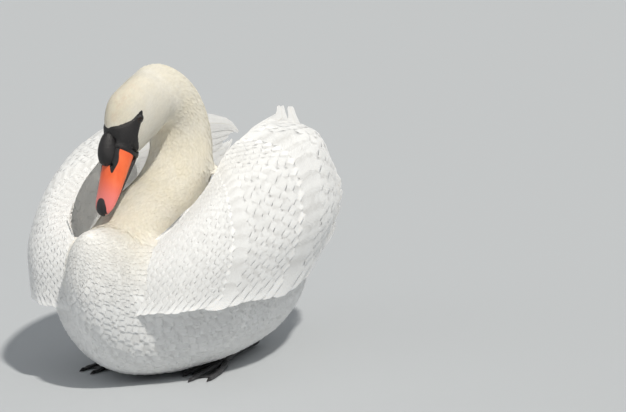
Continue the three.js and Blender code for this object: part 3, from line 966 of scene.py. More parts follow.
def buildVanes(name, grid, kind, rootUv, tones, material, slotName):
    # grid: feathers x rows x across x 3
    _, _, s, t = vaneShape(kind)
    count, rows, cols = grid.shape[:3]
    mesh = bpy.data.meshes.new(name)
    cell = np.arange(rows * cols).reshape(rows, cols)
    quads = np.stack([cell[:-1, :-1], cell[1:, :-1], cell[1:, 1:], cell[:-1, 1:]], -1).reshape(-1, 4)
    loops = (quads[None] + (np.arange(count) * rows * cols)[:, None, None]).reshape(-1)
    faces = count * len(quads)
    mesh.vertices.add(count * rows * cols)
    mesh.vertices.foreach_set("co", np.ascontiguousarray(grid, dtype=np.float32).ravel())
    mesh.loops.add(len(loops))
    mesh.loops.foreach_set("vertex_index", loops.astype(np.int32))
    mesh.polygons.add(faces)
    mesh.polygons.foreach_set("loop_start", (np.arange(faces) * 4).astype(np.int32))
    mesh.polygons.foreach_set("use_smooth", np.ones(faces, bool))
    mesh.update(calc_edges=True)
    oneVane = np.stack(np.broadcast_arrays((t[None, :] + 1) / 2, s[:, None]), -1).reshape(1, -1, 2)
    vaneMap = np.tile(oneVane.reshape(-1, 2), (count, 1))[loops]
    mesh.uv_layers.new(name="OFBake")
    mesh.uv_layers.new(name="vane")
    patch = rootUv[:, None, :] + bakePatch * (np.tile(oneVane, (count, 1, 1)) - 0.5)
    mesh.uv_layers["OFBake"].data.foreach_set("uv", patch.reshape(-1, 2)[loops].astype(np.float32).ravel())
    mesh.uv_layers["vane"].data.foreach_set("uv", vaneMap.astype(np.float32).ravel())
    paint(mesh, "plumage", np.repeat(tones, rows * cols, axis=0))
    thing = bpy.data.objects.new(name, mesh)
    scene.collection.objects.link(thing)
    putOn(thing, material, slotName)
    return thing


# coat of the body, neck and head, rooted on the skin
coat = {
    # gap between roots in mm; length, width and lift as shares of the gap
    "gap": {"face": 1.25, "head": 1.6, "neck": 1.95, "breast": 4.6, "belly": 7.5, "back": 8.0, "lining": 8.5},
    "length": {"soft": 4.8, "body": 3.9}, "width": {"soft": 1.9, "body": 2.15},
    "lift": {"soft": 0.50, "body": 0.50},
    "swing": {"soft": 0.14, "body": 0.05}, "liftRange": {"soft": (0.7, 1.25), "body": (0.97, 1.03)},
    "ragged": {"soft": 0.035, "body": 0.012},
    "seed": 5, "seamAbove": 0.235, "seamWidth": 0.010,
    "pieces": {
        # region names and a test on the root's place
        "headFeathers": ("head", "soft"), "neckFeathers": ("neck", "soft"),
        "breastFeathers": ("breast", "body"), "flankFeathers": ("flank", "body"),
        "rumpFeathers": ("rump", "body"),
        "wingLiningLeft": ("liningLeft", "body"), "wingLiningRight": ("liningRight", "body"),
    },
}


def wingPlace(points):
    # nearest place on the wing's outer form, with the side folded onto the left wing
    folded = points * np.where(points[:, :1] < 0, [[-1, 1, 1]], [[1, 1, 1]])
    tree = treeOf(wingGrid.reshape(-1, 3))
    found = np.array([tree.find(point)[1:] for point in folded])
    index = found[:, 0].astype(int)
    rows, cols = wing["grid"]
    return index // cols / (rows - 1), index % cols / (cols - 1), found[:, 1]


def smoothField(values, rounds, share=0.7):
    values = values.reshape(len(values), -1).copy()
    for _ in range(rounds):
        values += share * (neighbourMean(values, skinEdges, skinCounts) - values)
    return values


onWing = regionNames == "wing"
wingP = np.zeros(len(skinPoints))
wingQ = np.zeros(len(skinPoints))
wingGap = np.full(len(skinPoints), 9.0)
wingP[onWing], wingQ[onWing], wingGap[onWing] = wingPlace(skinPoints[onWing])
_, domeNormal = wingAt(wingP, wingQ)
domeNormal[skinPoints[:, 0] < 0, 0] *= -1
facesOut = np.einsum("ij,ij->i", domeNormal, skinNormals)
isDome = onWing & (facesOut > 0.35) & (wingP > 0.02) & (wingP < 0.79) & (wingQ > 0.02) & (wingQ < 0.985)


def lieOfTheCoat():
    # which way the feathers lie at each point of the skin
    flow = np.tile(np.array([0, 0.85, -0.12]), (len(skinPoints), 1))
    neckRoot = np.array([0.0, -0.235, 0.205])
    front = ease(-0.10, -0.24, skinPoints[:, 1])[:, None]
    flow = flow + front * 0.75 * unit(skinPoints - neckRoot)
    best = np.full(len(skinPoints), 9.0)
    onNeck = np.zeros((len(skinPoints), 3))
    for a, b, _, _, gap in neckStretches(skinPoints):
        nearer = gap < best
        onNeck[nearer] = unit(a - b)
        best = np.minimum(best, gap)
    flow[regionNames == "neck"] = onNeck[regionNames == "neck"]
    flow[regionNames == "head"] = unit(np.array([0, 1, -0.10]) @ headTurn.T)
    ahead, _ = wingAt(wingP + 0.03, wingQ)
    behind, _ = wingAt(wingP - 0.03, wingQ)
    run = unit(ahead - behind)
    run[skinPoints[:, 0] < 0, 0] *= -1
    flow[onWing] = run[onWing]
    for _ in range(3):
        flow = smoothField(flow, 12)
        flow -= np.einsum("ij,ij->i", flow, skinNormals)[:, None] * skinNormals
        flow = unit(flow)
    return flow


def coatGaps():
    gap = np.full(len(skinPoints), coat["gap"]["back"])
    y, z = skinPoints[:, 1], skinPoints[:, 2]
    trunk = regionNames == "trunk"
    breast, back = coat["gap"]["breast"], coat["gap"]["back"]
    gap[trunk] = breast + (back - breast) * ease(-0.2, 0.1, y[trunk])
    gap[trunk] *= 1 - 0.4 * (ease(0.12, 0.19, z) * ease(-0.10, -0.18, y))[trunk]
    low = trunk & (skinNormals[:, 2] < -0.3)
    gap[low] = coat["gap"]["belly"]
    gap[onWing] = coat["gap"]["lining"]
    gap[regionNames == "neck"] = coat["gap"]["neck"]
    isHead = regionNames == "head"
    local = toHead(skinPoints)
    near = ease(30, -25, local[:, 1])
    gap[isHead] = (coat["gap"]["head"] + (coat["gap"]["face"] - coat["gap"]["head"]) * near)[isHead]
    wide = smoothField(gap, 80)[:, 0]
    return np.where(isHead, smoothField(gap, 14)[:, 0], wide) * mm


coatFlow = lieOfTheCoat()
coatGap = coatGaps()
coatLift = np.array([skin["depth"][name] for name in regionNames])
coatLift = smoothField(coatLift, 20)[:, 0]
print("lie of the coat set")


def scatterRoots():
    # evenly spread roots: random places, thinned so that none is nearer than its gap
    mesh = body.data
    mesh.calc_loop_triangles()
    triangles = np.empty(len(mesh.loop_triangles) * 3, np.int64)
    mesh.loop_triangles.foreach_get("vertices", triangles)
    triangles = triangles.reshape(-1, 3)
    a, b, c = (skinPoints[triangles[:, k]] for k in range(3))
    area = 0.5 * np.linalg.norm(np.cross(b - a, c - a), axis=1)
    gap = coatGap[triangles].mean(1)
    rng = np.random.default_rng(coat["seed"])
    chance = area / gap ** 2
    total = int(chance.sum() * 4.2)
    pick = np.searchsorted(np.cumsum(chance) / chance.sum(), rng.random(total))
    pick = np.minimum(pick, len(triangles) - 1)
    u, v = rng.random(total), rng.random(total)
    over = u + v > 1
    u[over], v[over] = 1 - u[over], 1 - v[over]
    weights = np.stack([1 - u - v, u, v], 1)
    corners = triangles[pick]
    place = np.einsum("ij,ijk->ik", weights, skinPoints[corners])
    reach = (weights * coatGap[corners]).sum(1)
    tree = treeOf(place)
    state = np.zeros(total, np.int8)
    kept = []
    for k in range(total):
        if state[k]:
            continue
        kept.append(k)
        for _, other, _ in tree.find_range(place[k], reach[k]):
            state[other] = 1
    kept = np.array(kept)
    return place[kept], corners[kept], weights[kept]


rootPlace, rootCorners, rootWeights = scatterRoots()
rootNear = rootCorners[np.arange(len(rootCorners)), rootWeights.argmax(1)]
rootFlow = unit(np.einsum("ij,ijk->ik", rootWeights, coatFlow[rootCorners]))
rootNormal = unit(np.einsum("ij,ijk->ik", rootWeights, skinNormals[rootCorners]))
rootGap = (rootWeights * coatGap[rootCorners]).sum(1)
rootLift = (rootWeights * coatLift[rootCorners]).sum(1)
rootTone = np.einsum("ij,ijk->ik", rootWeights, skinTone[rootCorners])
rootTone[:, 2] = np.random.default_rng(8).random(len(rootTone))
rootRegion = regionNames[rootNear]
print("coat roots:", len(rootPlace))

# no feathers on the bare face, over the eyes, inside the bill's base, under the wing rows or on the floor
rootHead = toHead(rootPlace)
inFront = (np.linalg.norm(rootHead, axis=1) < face["reach"]) & (rootRegion == "head")
inFront &= rootHead[:, 1] < bareEdgeAt(rootHead) - 0.6
nearEye = np.zeros(len(rootPlace), bool)
for sign in (1, -1):
    eyeAt = np.array([sign * eyes["clearAt"][0], *eyes["clearAt"][1:]])
    nearEye |= np.linalg.norm(rootHead - eyeAt, axis=1) < eyes["clear"]
free = ~(inFront | nearEye | isDome[rootNear]) & (rootPlace[:, 2] > 0.0022)


def onBridge():
    # the narrow seam where the neck leans on the wing's front edge stays smooth
    neck = (rootRegion == "neck") & (rootPlace[:, 2] > coat["seamAbove"])
    wings = (rootRegion == "wing") & (rootPlace[:, 2] > coat["seamAbove"]) & (rootPlace[:, 1] < -0.03)
    near = np.zeros(len(rootPlace), bool)
    near[neck] = wingPlace(rootPlace[neck])[2] < coat["seamWidth"]
    tree = treeOf(rootPlace[neck])
    near[wings] = [tree.find(point)[2] < coat["seamWidth"] for point in rootPlace[wings]]
    return near


free &= ~onBridge()


def regionOf():
    names = rootRegion.astype("<U12")
    y = rootPlace[:, 1]
    trunk = rootRegion == "trunk"
    names[trunk & (y < -0.12)] = "breast"
    names[trunk & (y >= -0.12) & (y < 0.12)] = "flank"
    names[trunk & (y >= 0.12)] = "rump"
    names[(rootRegion == "wing") & (rootPlace[:, 0] > 0)] = "liningLeft"
    names[(rootRegion == "wing") & (rootPlace[:, 0] < 0)] = "liningRight"
    return names


def unwrapRoots(places, name):
    # unwrap of the skin round its own axis: angle round the form against length along it
    if name == "head":
        h = toHead(places)
        return np.stack([np.arctan2(h[:, 0], h[:, 2] + 12) / 6.2832 + 0.5, (h[:, 1] + 55) / 130], 1)
    if name == "neck":
        line = np.array(marks["neckLine"])
        steps = np.concatenate([[0], np.cumsum(np.linalg.norm(np.diff(line, axis=0), axis=1))])
        best = np.full(len(places), 9.0)
        run = np.zeros(len(places))
        turn = np.zeros(len(places))
        for k, (a, b, t, away, gap) in enumerate(neckStretches(places)):
            nearer = gap < best
            best = np.minimum(best, gap)
            ahead = unit(np.cross((b - a), (1, 0, 0)))
            run[nearer] = (steps[k] + t * (steps[k + 1] - steps[k]))[nearer] / steps[-1]
            turn[nearer] = np.arctan2(away[:, 0], away @ ahead)[nearer]
        return np.stack([turn / 6.2832 + 0.5, run], 1)
    if name.startswith("lining"):
        p, q, gap = wingPlace(places)
        return np.stack([q * 0.9 + 0.05, p * 0.9 + 0.05], 1)
    turn = np.arctan2(places[:, 0], places[:, 2] - 0.11)
    return np.stack([turn / 6.2832 + 0.5, (places[:, 1] + 0.32) / 0.74], 1)


faceCorners = [tuple(p.vertices) for p in body.data.polygons]
faceSmooth = unit(np.array([skinNormals[list(corners)].mean(0) for corners in faceCorners]))


def growCoat(name, region, kind):
    pick = free & (rootNames == region)
    place, flow, normal = rootPlace[pick], rootFlow[pick], rootNormal[pick]
    rng = np.random.default_rng(sum(map(ord, name)))
    count = len(place)
    side = unit(np.cross(normal, flow))
    swing = rng.normal(0, coat["swing"][kind], count)[:, None]
    flow = unit(flow + swing * side)
    side = unit(np.cross(normal, flow))
    alongShare, acrossShare, s, t = vaneShape(kind)
    length = rootGap[pick] * coat["length"][kind] * rng.uniform(0.86, 1.16, count)
    width = rootGap[pick] * coat["width"][kind] * rng.uniform(0.9, 1.1, count) * 0.5
    lift = rootLift[pick] * coat["lift"][kind] * rng.uniform(*coat["liftRange"][kind], count)
    if kind == "body":  # short feathers lie as flat as long ones
        lift = lift * np.clip(rootGap[pick] / coat["gap"]["belly"] / mm, 0.3, 1)
    ragged = 1 + rng.normal(0, coat["ragged"][kind], (count, len(s), len(t))) * (s[None, :, None] > 0.7)
    reach = length[:, None, None] * alongShare[None] * ragged - 0.15 * length[:, None, None]
    spread = width[:, None, None] * acrossShare[None]
    flat = place[:, None, None] + reach[..., None] * flow[:, None, None]
    flat = flat + spread[..., None] * side[:, None, None]
    height = lift[:, None, None] * (-0.12 + 1.12 * s[None, :, None] ** 0.85)
    height = height - 0.04 * width[:, None, None] * (t ** 2)[None, None, :] * (0.35 + s[None, :, None])
    height = height + rng.normal(0, 0.008, (count, len(s), len(t))) * lift[:, None, None]
    grid = np.empty(flat.shape)
    points = flat.reshape(-1, 3)
    rise = height.reshape(-1)
    out = grid.reshape(-1, 3)
    for k, point in enumerate(points.tolist()):
        hit, _, index, _ = skinTree.find_nearest(point)
        out[k] = hit
        out[k] += faceSmooth[index] * rise[k]
    out[:, 2] = np.maximum(out[:, 2], 0.0003)
    tones = rootTone[pick]
    material = softPlumage if kind == "soft" else bodyPlumage
    slotName = "cream_plumage" if region in ("head", "neck") else "white_plumage"
    thing = buildVanes(name, grid, kind, unwrapRoots(place, region), tones, material, slotName)
    print(name, count, "feathers,", 2 * len(thing.data.polygons), "triangles")


rootNames = regionOf()
for pieceName, (regionName, kindName) in coat["pieces"].items():
    growCoat(pieceName, regionName, kindName)

putOn(body, downySkin, "white_plumage", *skin["flesh"])

# wing coverts: staggered rows over the arched arm
coverts = {
    "crossBend": 0.014,
    # first row, last row, row step (shares of the wing), length share, width mm, lift mm
    "bands": [("lesser", 0.000, 0.30, 0.0150, 0.085, 18, 0.65),
              ("median", 0.315, 0.53, 0.0240, 0.135, 26, 0.9),
              ("greater", 0.55, 0.75, 0.0370, 0.210, 38, 1.0)],
    "sunk": 2.5,           # how far the quill end lies under the outer form, mm
    "brim": 0.03,
    "settle": 0.5,         # the last rows of a band sink onto the next band, mm
    "spacing": 0.53,       # from feather to feather in a row, as a share of the width
    "tilt": 0.2,           # each laps over its neighbour, mm at the edge
}


def wingTones(points, seed):
    tones = np.zeros((len(points), 4))
    tones[:, 2] = np.random.default_rng(seed).random(len(points))
    tones[:, 3] = 1
    return tones


def mirrorGrid(grid):
    other = grid * np.array([-1, 1, 1])
    return other[:, :, ::-1]


def rowOfCoverts(p, q, length, width, lift, rng):
    # q: centres of the feathers of one row
    alongShare, acrossShare, s, t = vaneShape("covert")
    count = len(q)
    left, _ = wingAt(p, q - 0.01)
    right, _ = wingAt(p, q + 0.01)
    perQ = np.linalg.norm(right - left, axis=1) / 0.02
    half = 0.5 * width * mm / perQ * rng.uniform(0.98, 1.08, count)
    long = length * rng.uniform(0.95, 1.05, count)
    skew = rng.normal(0, 0.02, count)
    ps = p + long[:, None, None] * (alongShare[None] - 0.12)
    ragged = rng.normal(0, 0.006, (count, len(s), len(t))) * (s[None, :, None] > 0.85)
    ps = ps + ragged * long[:, None, None]
    sweep = skew[:, None, None] * s[None, :, None] * 2
    qs = q[:, None, None] + half[:, None, None] * (acrossShare[None] * 1.2 + sweep)
    brim = coverts["brim"]  # feathers on the ridge wrap over it instead of standing out past it
    qs = np.where(qs > 1 - brim, 1 - brim * np.exp(-(qs - 1 + brim) / brim), qs)
    place, normal = wingAt(ps, qs)
    rise = lift * rng.uniform(0.95, 1.05, count)[:, None, None]
    height = -coverts["sunk"] + (coverts["sunk"] - 0.9 + rise) * (s[None, :, None] ** 0.8)
    height = height - coverts["crossBend"] * width * (t ** 2)[None, None, :] * (0.3 + s[None, :, None])
    height = height + coverts["tilt"] * t[None, None, :] + rng.normal(0, 0.02, height.shape)
    return place + normal * (height * mm)[..., None]


def growCoverts():
    for band, (name, start, stop, step, length, width, lift) in enumerate(coverts["bands"]):
        grids, uvs = [], []
        rng = np.random.default_rng(40 + band)
        for k, p in enumerate(np.arange(start, stop + 1e-6, step)):
            section, _ = wingAt(np.full(60, max(p, 0.0)), np.linspace(0, 1, 60))
            gaps = np.linalg.norm(np.diff(section, axis=0), axis=1)
            run = np.concatenate([[0], np.cumsum(gaps)])
            count = max(int(run[-1] / (width * mm * coverts["spacing"])), 4)
            place = (np.arange(count) + 0.25 + 0.5 * (k % 2)) / count * run[-1]
            q = np.interp(place + rng.normal(0, 0.05 * width * mm, count), run, np.linspace(0, 1, 60))
            sink = coverts["settle"] * ease(stop - 4 * step, stop, p)
            grids.append(rowOfCoverts(p, q, length, width, lift - sink, rng))
            uvs.append(np.stack([q * 0.9 + 0.05, np.full(count, p * 0.9 + 0.05)], 1))
        grid = np.concatenate(grids)
        uv = np.concatenate(uvs)
        for sideName, part in (("Left", grid), ("Right", mirrorGrid(grid))):
            thing = buildVanes(name + "Coverts" + sideName, part, "covert", uv, wingTones(part, 60 + band),
                               bodyPlumage, "white_plumage")
        print(name, "coverts:", 2 * len(grid), "feathers,", 4 * len(thing.data.polygons), "triangles")


growCoverts()


# long feathers: a cupped vane on a tapering shaft, with thickness
def widthAt(s, profile):
    return np.interp(s, [row[0] for row in profile], [row[1] for row in profile])


longFeather = {
    "rows": 22, "across": 8, "thick": 0.7,
    "profile": [(0, 0.30), (0.12, 0.72), (0.35, 0.95), (0.65, 1.0), (0.85, 0.96), (1.0, 0.86)],
    "shaftWidth": 1.6, "shaftHeight": 1.1,
}


def longGrid(place, profile=None, tip=0.06, rows=None, across=None, seed=0):
    # place(s, t) gives points and normals; s runs from quill to tip, t across
    rows = rows or longFeather["rows"]
    across = across or longFeather["across"]
    profile = profile or longFeather["profile"]
    rng = np.random.default_rng(seed)
    tipRows = 0.86 + 0.14 * np.sin(np.linspace(0.2, 1, 7) * np.pi / 2)
    s = np.concatenate([np.linspace(0, 0.86, rows - 7), tipRows])
    t = np.linspace(-1, 1, across + 1)
    split = rng.normal(0, 0.006, across + 1) + (rng.random(across + 1) < 0.2) * -0.012
    sShare = s[:, None] - tip * (np.abs(t) ** 2.4)[None, :] * ease(0.5, 1, s)[:, None]
    sShare = sShare + split[None, :] * ease(0.8, 1, s)[:, None]
    tShare = widthAt(s, profile)[:, None] * t[None, :]
    return place(sShare, tShare), s, t


def turnOut(points, sheet, outward, faces):
    # turns the faces over when the sheet looks inward
    a, b, c = (points[sheet[:, k]] for k in range(3))
    inward = (np.cross(b - a, c - a) * outward).sum() < 0
    return faces[:, ::-1] if inward else faces


def closeFeather(points, normals, thick):
    # top and bottom sheets of one feather, with the rim closed; thinner towards the edges
    rows, cols = points.shape[:2]
    t = np.linspace(-1, 1, cols)
    depth = thick * mm * (0.45 + 0.55 * (1 - t ** 2))[None, :, None]
    under = points - normals * depth
    both = np.concatenate([points.reshape(-1, 3), under.reshape(-1, 3)])
    cell = np.arange(rows * cols).reshape(rows, cols)
    quads = np.stack([cell[:-1, :-1], cell[:-1, 1:], cell[1:, 1:], cell[1:, :-1]], -1).reshape(-1, 4)
    below = quads[:, ::-1] + rows * cols
    rim = np.concatenate([cell[0, :], cell[1:, -1], cell[-1, -2::-1], cell[-2:0:-1, 0]])
    nextRim = np.roll(rim, -1)
    wall = np.stack([nextRim, rim, rim + rows * cols, nextRim + rows * cols], -1)
    outward = normals.reshape(-1, 3)[quads[:, 0]]
    return both, turnOut(both, quads, outward, np.concatenate([quads, below, wall]))


def shaftOn(points, normals, s):
    # the shaft: a four-sided tapering rod along the middle of the vane
    cols = points.shape[1]
    mid = cols // 2
    line, up = points[:, mid], normals[:, mid]
    side = unit(points[:, mid + 1] - points[:, mid - 1])
    taper = (1 - 0.82 * s)[:, None] * mm
    wide = 0.5 * longFeather["shaftWidth"] * taper * side
    high = longFeather["shaftHeight"] * taper * up
    top = line + 0.6 * high
    ring = np.stack([line - wide, top - 0.5 * wide, top + 0.5 * wide, line + wide], 1)
    count = len(ring)
    quads = np.array([(i * 4 + k, i * 4 + k + 1, i * 4 + k + 5, i * 4 + k + 4)
                      for i in range(count - 1) for k in range(3)])
    return ring.reshape(-1, 3), turnOut(ring.reshape(-1, 3), quads, up[quads[:, 0] // 4], quads)


def buildLong(name, feathers, uvs, replaced=(), material=None):
    # feathers: list of (points, normals, s, t)
    allPoints, allQuads, vaneUv, bakeUv, tones = [], [], [], [], []
    rng = np.random.default_rng(len(feathers))
    start = 0
    for (points, normals, s, t), root in zip(feathers, uvs):
        shell, quads = closeFeather(points, normals, longFeather["thick"])
        rod, rodQuads = shaftOn(points, normals, s)
        across = np.broadcast_to((t[None, :] + 1) / 2, (len(s), len(t))).reshape(-1)
        along = np.broadcast_to(s[:, None], (len(s), len(t))).reshape(-1)
        own = np.stack([np.tile(across, 2), np.tile(along, 2)], 1)
        rodOwn = np.stack([np.full(len(rod), 0.5), np.repeat(s, 4)], 1)
        allPoints += [shell, rod]
        allQuads += [quads + start, rodQuads + start + len(shell)]
        start += len(shell) + len(rod)
        own = np.concatenate([own, rodOwn])
        vaneUv.append(own)
        bakeUv.append(np.array(root) + (own - 0.5) * bakePatch)
        tones.append(np.tile([0.0, 0.0, rng.random(), 1.0], (len(own), 1)))
    points = np.concatenate(allPoints)
    quads = np.concatenate(allQuads)
    thing = addMesh(name, points, quads)
    mesh = thing.data
    loops = quads.reshape(-1)
    for label, values in (("OFBake", np.concatenate(bakeUv)), ("vane", np.concatenate(vaneUv))):
        mesh.uv_layers.new(name=label)
        mesh.uv_layers[label].data.foreach_set("uv", values[loops].astype(np.float32).ravel())
    paint(mesh, "plumage", np.concatenate(tones))
    mesh.polygons.foreach_set("use_smooth", np.ones(len(mesh.polygons), bool))
    pickOnly(thing)
    bpy.ops.object.shade_smooth_by_angle(angle=math.radians(50))
    putOn(thing, material or quillPlumage, "white_plumage", *replaced)
    return thing


def mirrorFeather(feather):
    points, normals, s, t = feather
    flip = np.array([-1, 1, 1])
    return (points * flip)[:, ::-1], (normals * flip)[:, ::-1], s, t


# secondaries: ten long feathers whose rounded tips make the rear edge of each wing
secondaries = {
    "root": 0.60, "half": 0.066, "lap": 0.9, "sunk": 1.5, "rise": 0.03,
    # how far each tip runs out past the rear edge, rim to ridge, as a share of the rise
    "tips": {"Left": [1, 1, 1, 1, 1.1, 0.1, 1.4, 0.9, 1.1, 1.1],
             "Right": [1, 1, 1, 1, 1.1, 0.3, 0.1, 0.8, 1.1, 1.1]},
    # how single tips curl, mm, and how far they narrow
    "curls": {"Left": {5: (-3, -3, -1), 6: (5, 2, 4), 8: (-10, -2, 19), 9: (-8, -2, 12)},
              "Right": {5: (-3, -3, -1), 6: (5, 2, 4), 8: (-4, -2, 3)}},
    "narrow": {5: 0.25, 6: 0.35, 8: 0.38, 9: 0.32},
    "level": 8,            # lifts the outer half of a raised tip so that it ends blunt, mm
}


def secondaryFeather(k, sideName):
    tips = secondaries["tips"][sideName]
    middle = (k + 0.5) / len(tips)
    long = 1.0 + secondaries["rise"] * tips[k] - secondaries["root"]
    push = np.array(secondaries["curls"][sideName].get(k, (0, 0, 0))) * mm
    narrow = secondaries["narrow"].get(k, 0.0)
    level = secondaries["level"] * mm if push[2] > 8 * mm else 0.0

    def place(s, t):
        p = secondaries["root"] + long * s
        q = middle + secondaries["half"] * t * (1 - narrow * ease(0.82, 0.95, s))
        points, normals = wingAt(p, q)
        height = -secondaries["sunk"] - 1.4 * (1 - s) + secondaries["lap"] * t - 0.5 * t ** 2
        points = points + normals * (height * mm)[..., None]
        points = points + (ease(0.84, 1.0, s) * (1 - 0.12 * t ** 2))[..., None] * push
        points[..., 2] += level * ease(0.84, 1.0, s) * np.maximum(-t, 0)
        return points, normals

    tip = 0.045 if k in secondaries["narrow"] else 0.065
    (points, normals), s, t = longGrid(place, tip=tip, seed=300 + k)
    return points, normals, s, t


for sideName, tips in secondaries["tips"].items():
    feathers = [secondaryFeather(k, sideName) for k in range(len(tips))]
    if sideName == "Right":
        feathers = [mirrorFeather(feather) for feather in feathers]
    buildLong("secondaries" + sideName, feathers, [(0.05 + 0.09 * k, 0.6) for k in range(len(tips))],
              ("wing_" + sideName.lower() + "_secondaries",))
print("secondaries ready")

# primaries: folded blades that run back under the arched secondaries
primaries = {
    # y, side, low, top of the folded blade, mm
    "path": [(60, 106, 228, 258), (80, 104, 214, 272), (180, 86, 208, 280), (245, 67, 208, 284),
             (270, 62, 222, 285), (282, 59, 242, 283), (292, 56, 262, 281), (302, 52, 271, 278)],
    "count": 7, "width": 14.5,
    # where each feather ends, lowest first
    "tips": {"Left": [262, 268, 273, 279, 285, 291, 297], "Right": [280, 290, 284, 268, 279, 289, 297]},
    # the right blade rides a little higher and hangs a little lower at its end: y, up, down, mm
    "raised": {"Left": [(60, 0, 0), (302, 0, 0)],
               "Right": [(100, 0, 0), (180, 8, 0), (228, 16, 0), (260, 11, 5), (282, 8, 16), (302, 0, 30)]},
}


def primaryFeather(k, tipAt, raised):
    path = np.array(primaries["path"], float)
    extra = np.array(raised, float)
    share = k / (primaries["count"] - 1)
    startAt = 64 + 14 * (1 - share)

    def place(s, t):
        y = startAt + (tipAt - startAt) * s
        side, low, top = (np.interp(y, path[:, 0], path[:, k]) for k in (1, 2, 3))
        top = top + np.interp(y, extra[:, 0], extra[:, 1])
        low = low - np.interp(y, extra[:, 0], extra[:, 2])
        room = np.maximum(top - low, 4)
        half = np.minimum(primaries["width"], 0.5 * room)
        mid = low + half + (room - 2 * half) * share
        slope = np.interp(y + 8, path[:, 0], path[:, 1]) - np.interp(y - 8, path[:, 0], path[:, 1])
        normal = unit(np.stack([np.full(y.shape, 16.0), -slope, np.full(y.shape, 1.5)], -1))
        points = np.stack([side + 2.6 - 0.85 * k + 0.6 * t, y, mid + half * t], -1)
        return points * mm, normal

    profile = [(0, 0.35), (0.2, 0.8), (0.5, 1.0), (0.75, 0.9), (0.92, 0.62), (1.0, 0.42)]
    (points, normals), s, t = longGrid(place, profile, tip=0.045, seed=500 + k)
    return points, normals, s, t


for sideName, raised in primaries["raised"].items():
    stack = [primaryFeather(k, tipAt, raised) for k, tipAt in enumerate(primaries["tips"][sideName])]
    if sideName == "Right":
        stack = [mirrorFeather(feather) for feather in stack]
    buildLong("primaries" + sideName, stack, [(0.1 + 0.1 * k, 0.3) for k in range(len(stack))],
              ("wing_" + sideName.lower() + "_primaries",))
print("primaries ready")

# tail: a short wedge of overlapping quills over the rump
tail = {
    "tips": [(0, 432), (9, 429), (18, 423), (27, 414), (35, 404), (42, 392), (48, 379), (51, 365)],
    "rootSpread": 0.55, "rootAt": 280, "half": 12.5,
}


def tailFeather(index, sign):
    tipX, tipY = tail["tips"][index]
    tipX *= sign
    rootX = tipX * tail["rootSpread"]
    turn = math.atan2(tipX - rootX, tipY - tail["rootAt"])

    def place(s, t):
        y = tail["rootAt"] + (tipY - tail["rootAt"]) * s
        x = rootX + (tipX - rootX) * s
        z = 158 + 31 * ease(270, 432, y) * (1 - 0.10 * index / 7) - 0.8 * index - 2.2 * (x / 50) ** 2
        wide = tail["half"] * t
        normal = np.stack([np.full(y.shape, share) for share in (0.10 * tipX / 50, -0.20, 0.97)], -1)
        cupped = z - 1.4 * t ** 2 + 0.5 * sign * t
        points = np.stack([x + wide * math.cos(turn), y - wide * math.sin(turn), cupped], -1)
        return points * mm, unit(normal)

    (points, normals), s, t = longGrid(place, tip=0.09, rows=18, across=6, seed=700 + index + (sign > 0) * 9)
    return points, normals, s, t


fan = [tailFeather(k, 1) for k in range(len(tail["tips"]))]
fan += [tailFeather(k, -1) for k in range(1, len(tail["tips"]))]
buildLong("tailQuills", fan, [(0.5 + 0.03 * (k - 8), 0.8) for k in range(len(fan))])
print("tail ready")

# feet: folded under the body, the web forward and the shank back
foot = {
    "lowest": 0.0002,
    "shank": [(112, 3.5, 13, 4, 8.5), (106, 7.5, 17, 2.5, 9.8), (97, 8.6, 18, 2.2, 10),
              (84, 7.2, 16, 3, 9.4), (60, 6.2, 14.6, 3, 8.8), (30, 6.0, 14.4, 2.4, 8.4),
              (8, 7.2, 15.4, 1.6, 8.4), (-8, 9.0, 15, 1.0, 7.4), (-20, 9.6, 13, 0.6, 6.4),
              (-28, 7.0, 10, 0.6, 5)],
    "flat": 0.72,          # a toe's middle lies this share of its half width over the floor
    # bend points of each toe: at, side, and the half width there
    "toes": {"inner": [(-14, -3, 5.4), (-45, -11, 4.8), (-78, -17, 4.2), (-104, -19, 3.4)],
             "middle": [(-14, 0, 6.0), (-50, 0.5, 5.2), (-90, 0.5, 4.6), (-118, 0, 4.0), (-134, -0.5, 3.2)],
             "outer": [(-14, 3, 5.6), (-48, 12, 5.0), (-84, 18, 4.4), (-112, 20, 3.6), (-124, 20.5, 3.0)]},
    "claw": 9.0, "turn": 3.0, "place": (60, -6, 0),
}


def footPlace(side):
    turn = Matrix.Rotation(math.radians(foot["turn"]), 4, "Z")
    place = Matrix.Translation(Vector(foot["place"]) * mm) @ turn
    return place if side > 0 else Matrix.Diagonal((-1, 1, 1, 1)) @ place


def toeRows(bends):
    # knuckled toe: it swells at each joint
    rows = []
    for k, ((y0, x0, r0), (y1, x1, r1)) in enumerate(zip(bends[:-1], bends[1:])):
        for share in (0.0, 0.35, 0.7):
            radius = (r0 + (r1 - r0) * share) * (1.12 if share == 0 and k else 0.92)
            rows.append((y0 + (y1 - y0) * share, x0 + (x1 - x0) * share, radius))
    rows.append((bends[-1][0], bends[-1][1], bends[-1][2]))
    rows.append((bends[-1][0] - 2.5, bends[-1][1], bends[-1][2] * 0.6))
    return rows


def toePlace(row):
    return (row[1] * mm, row[0] * mm, row[2] * foot["flat"] * mm)


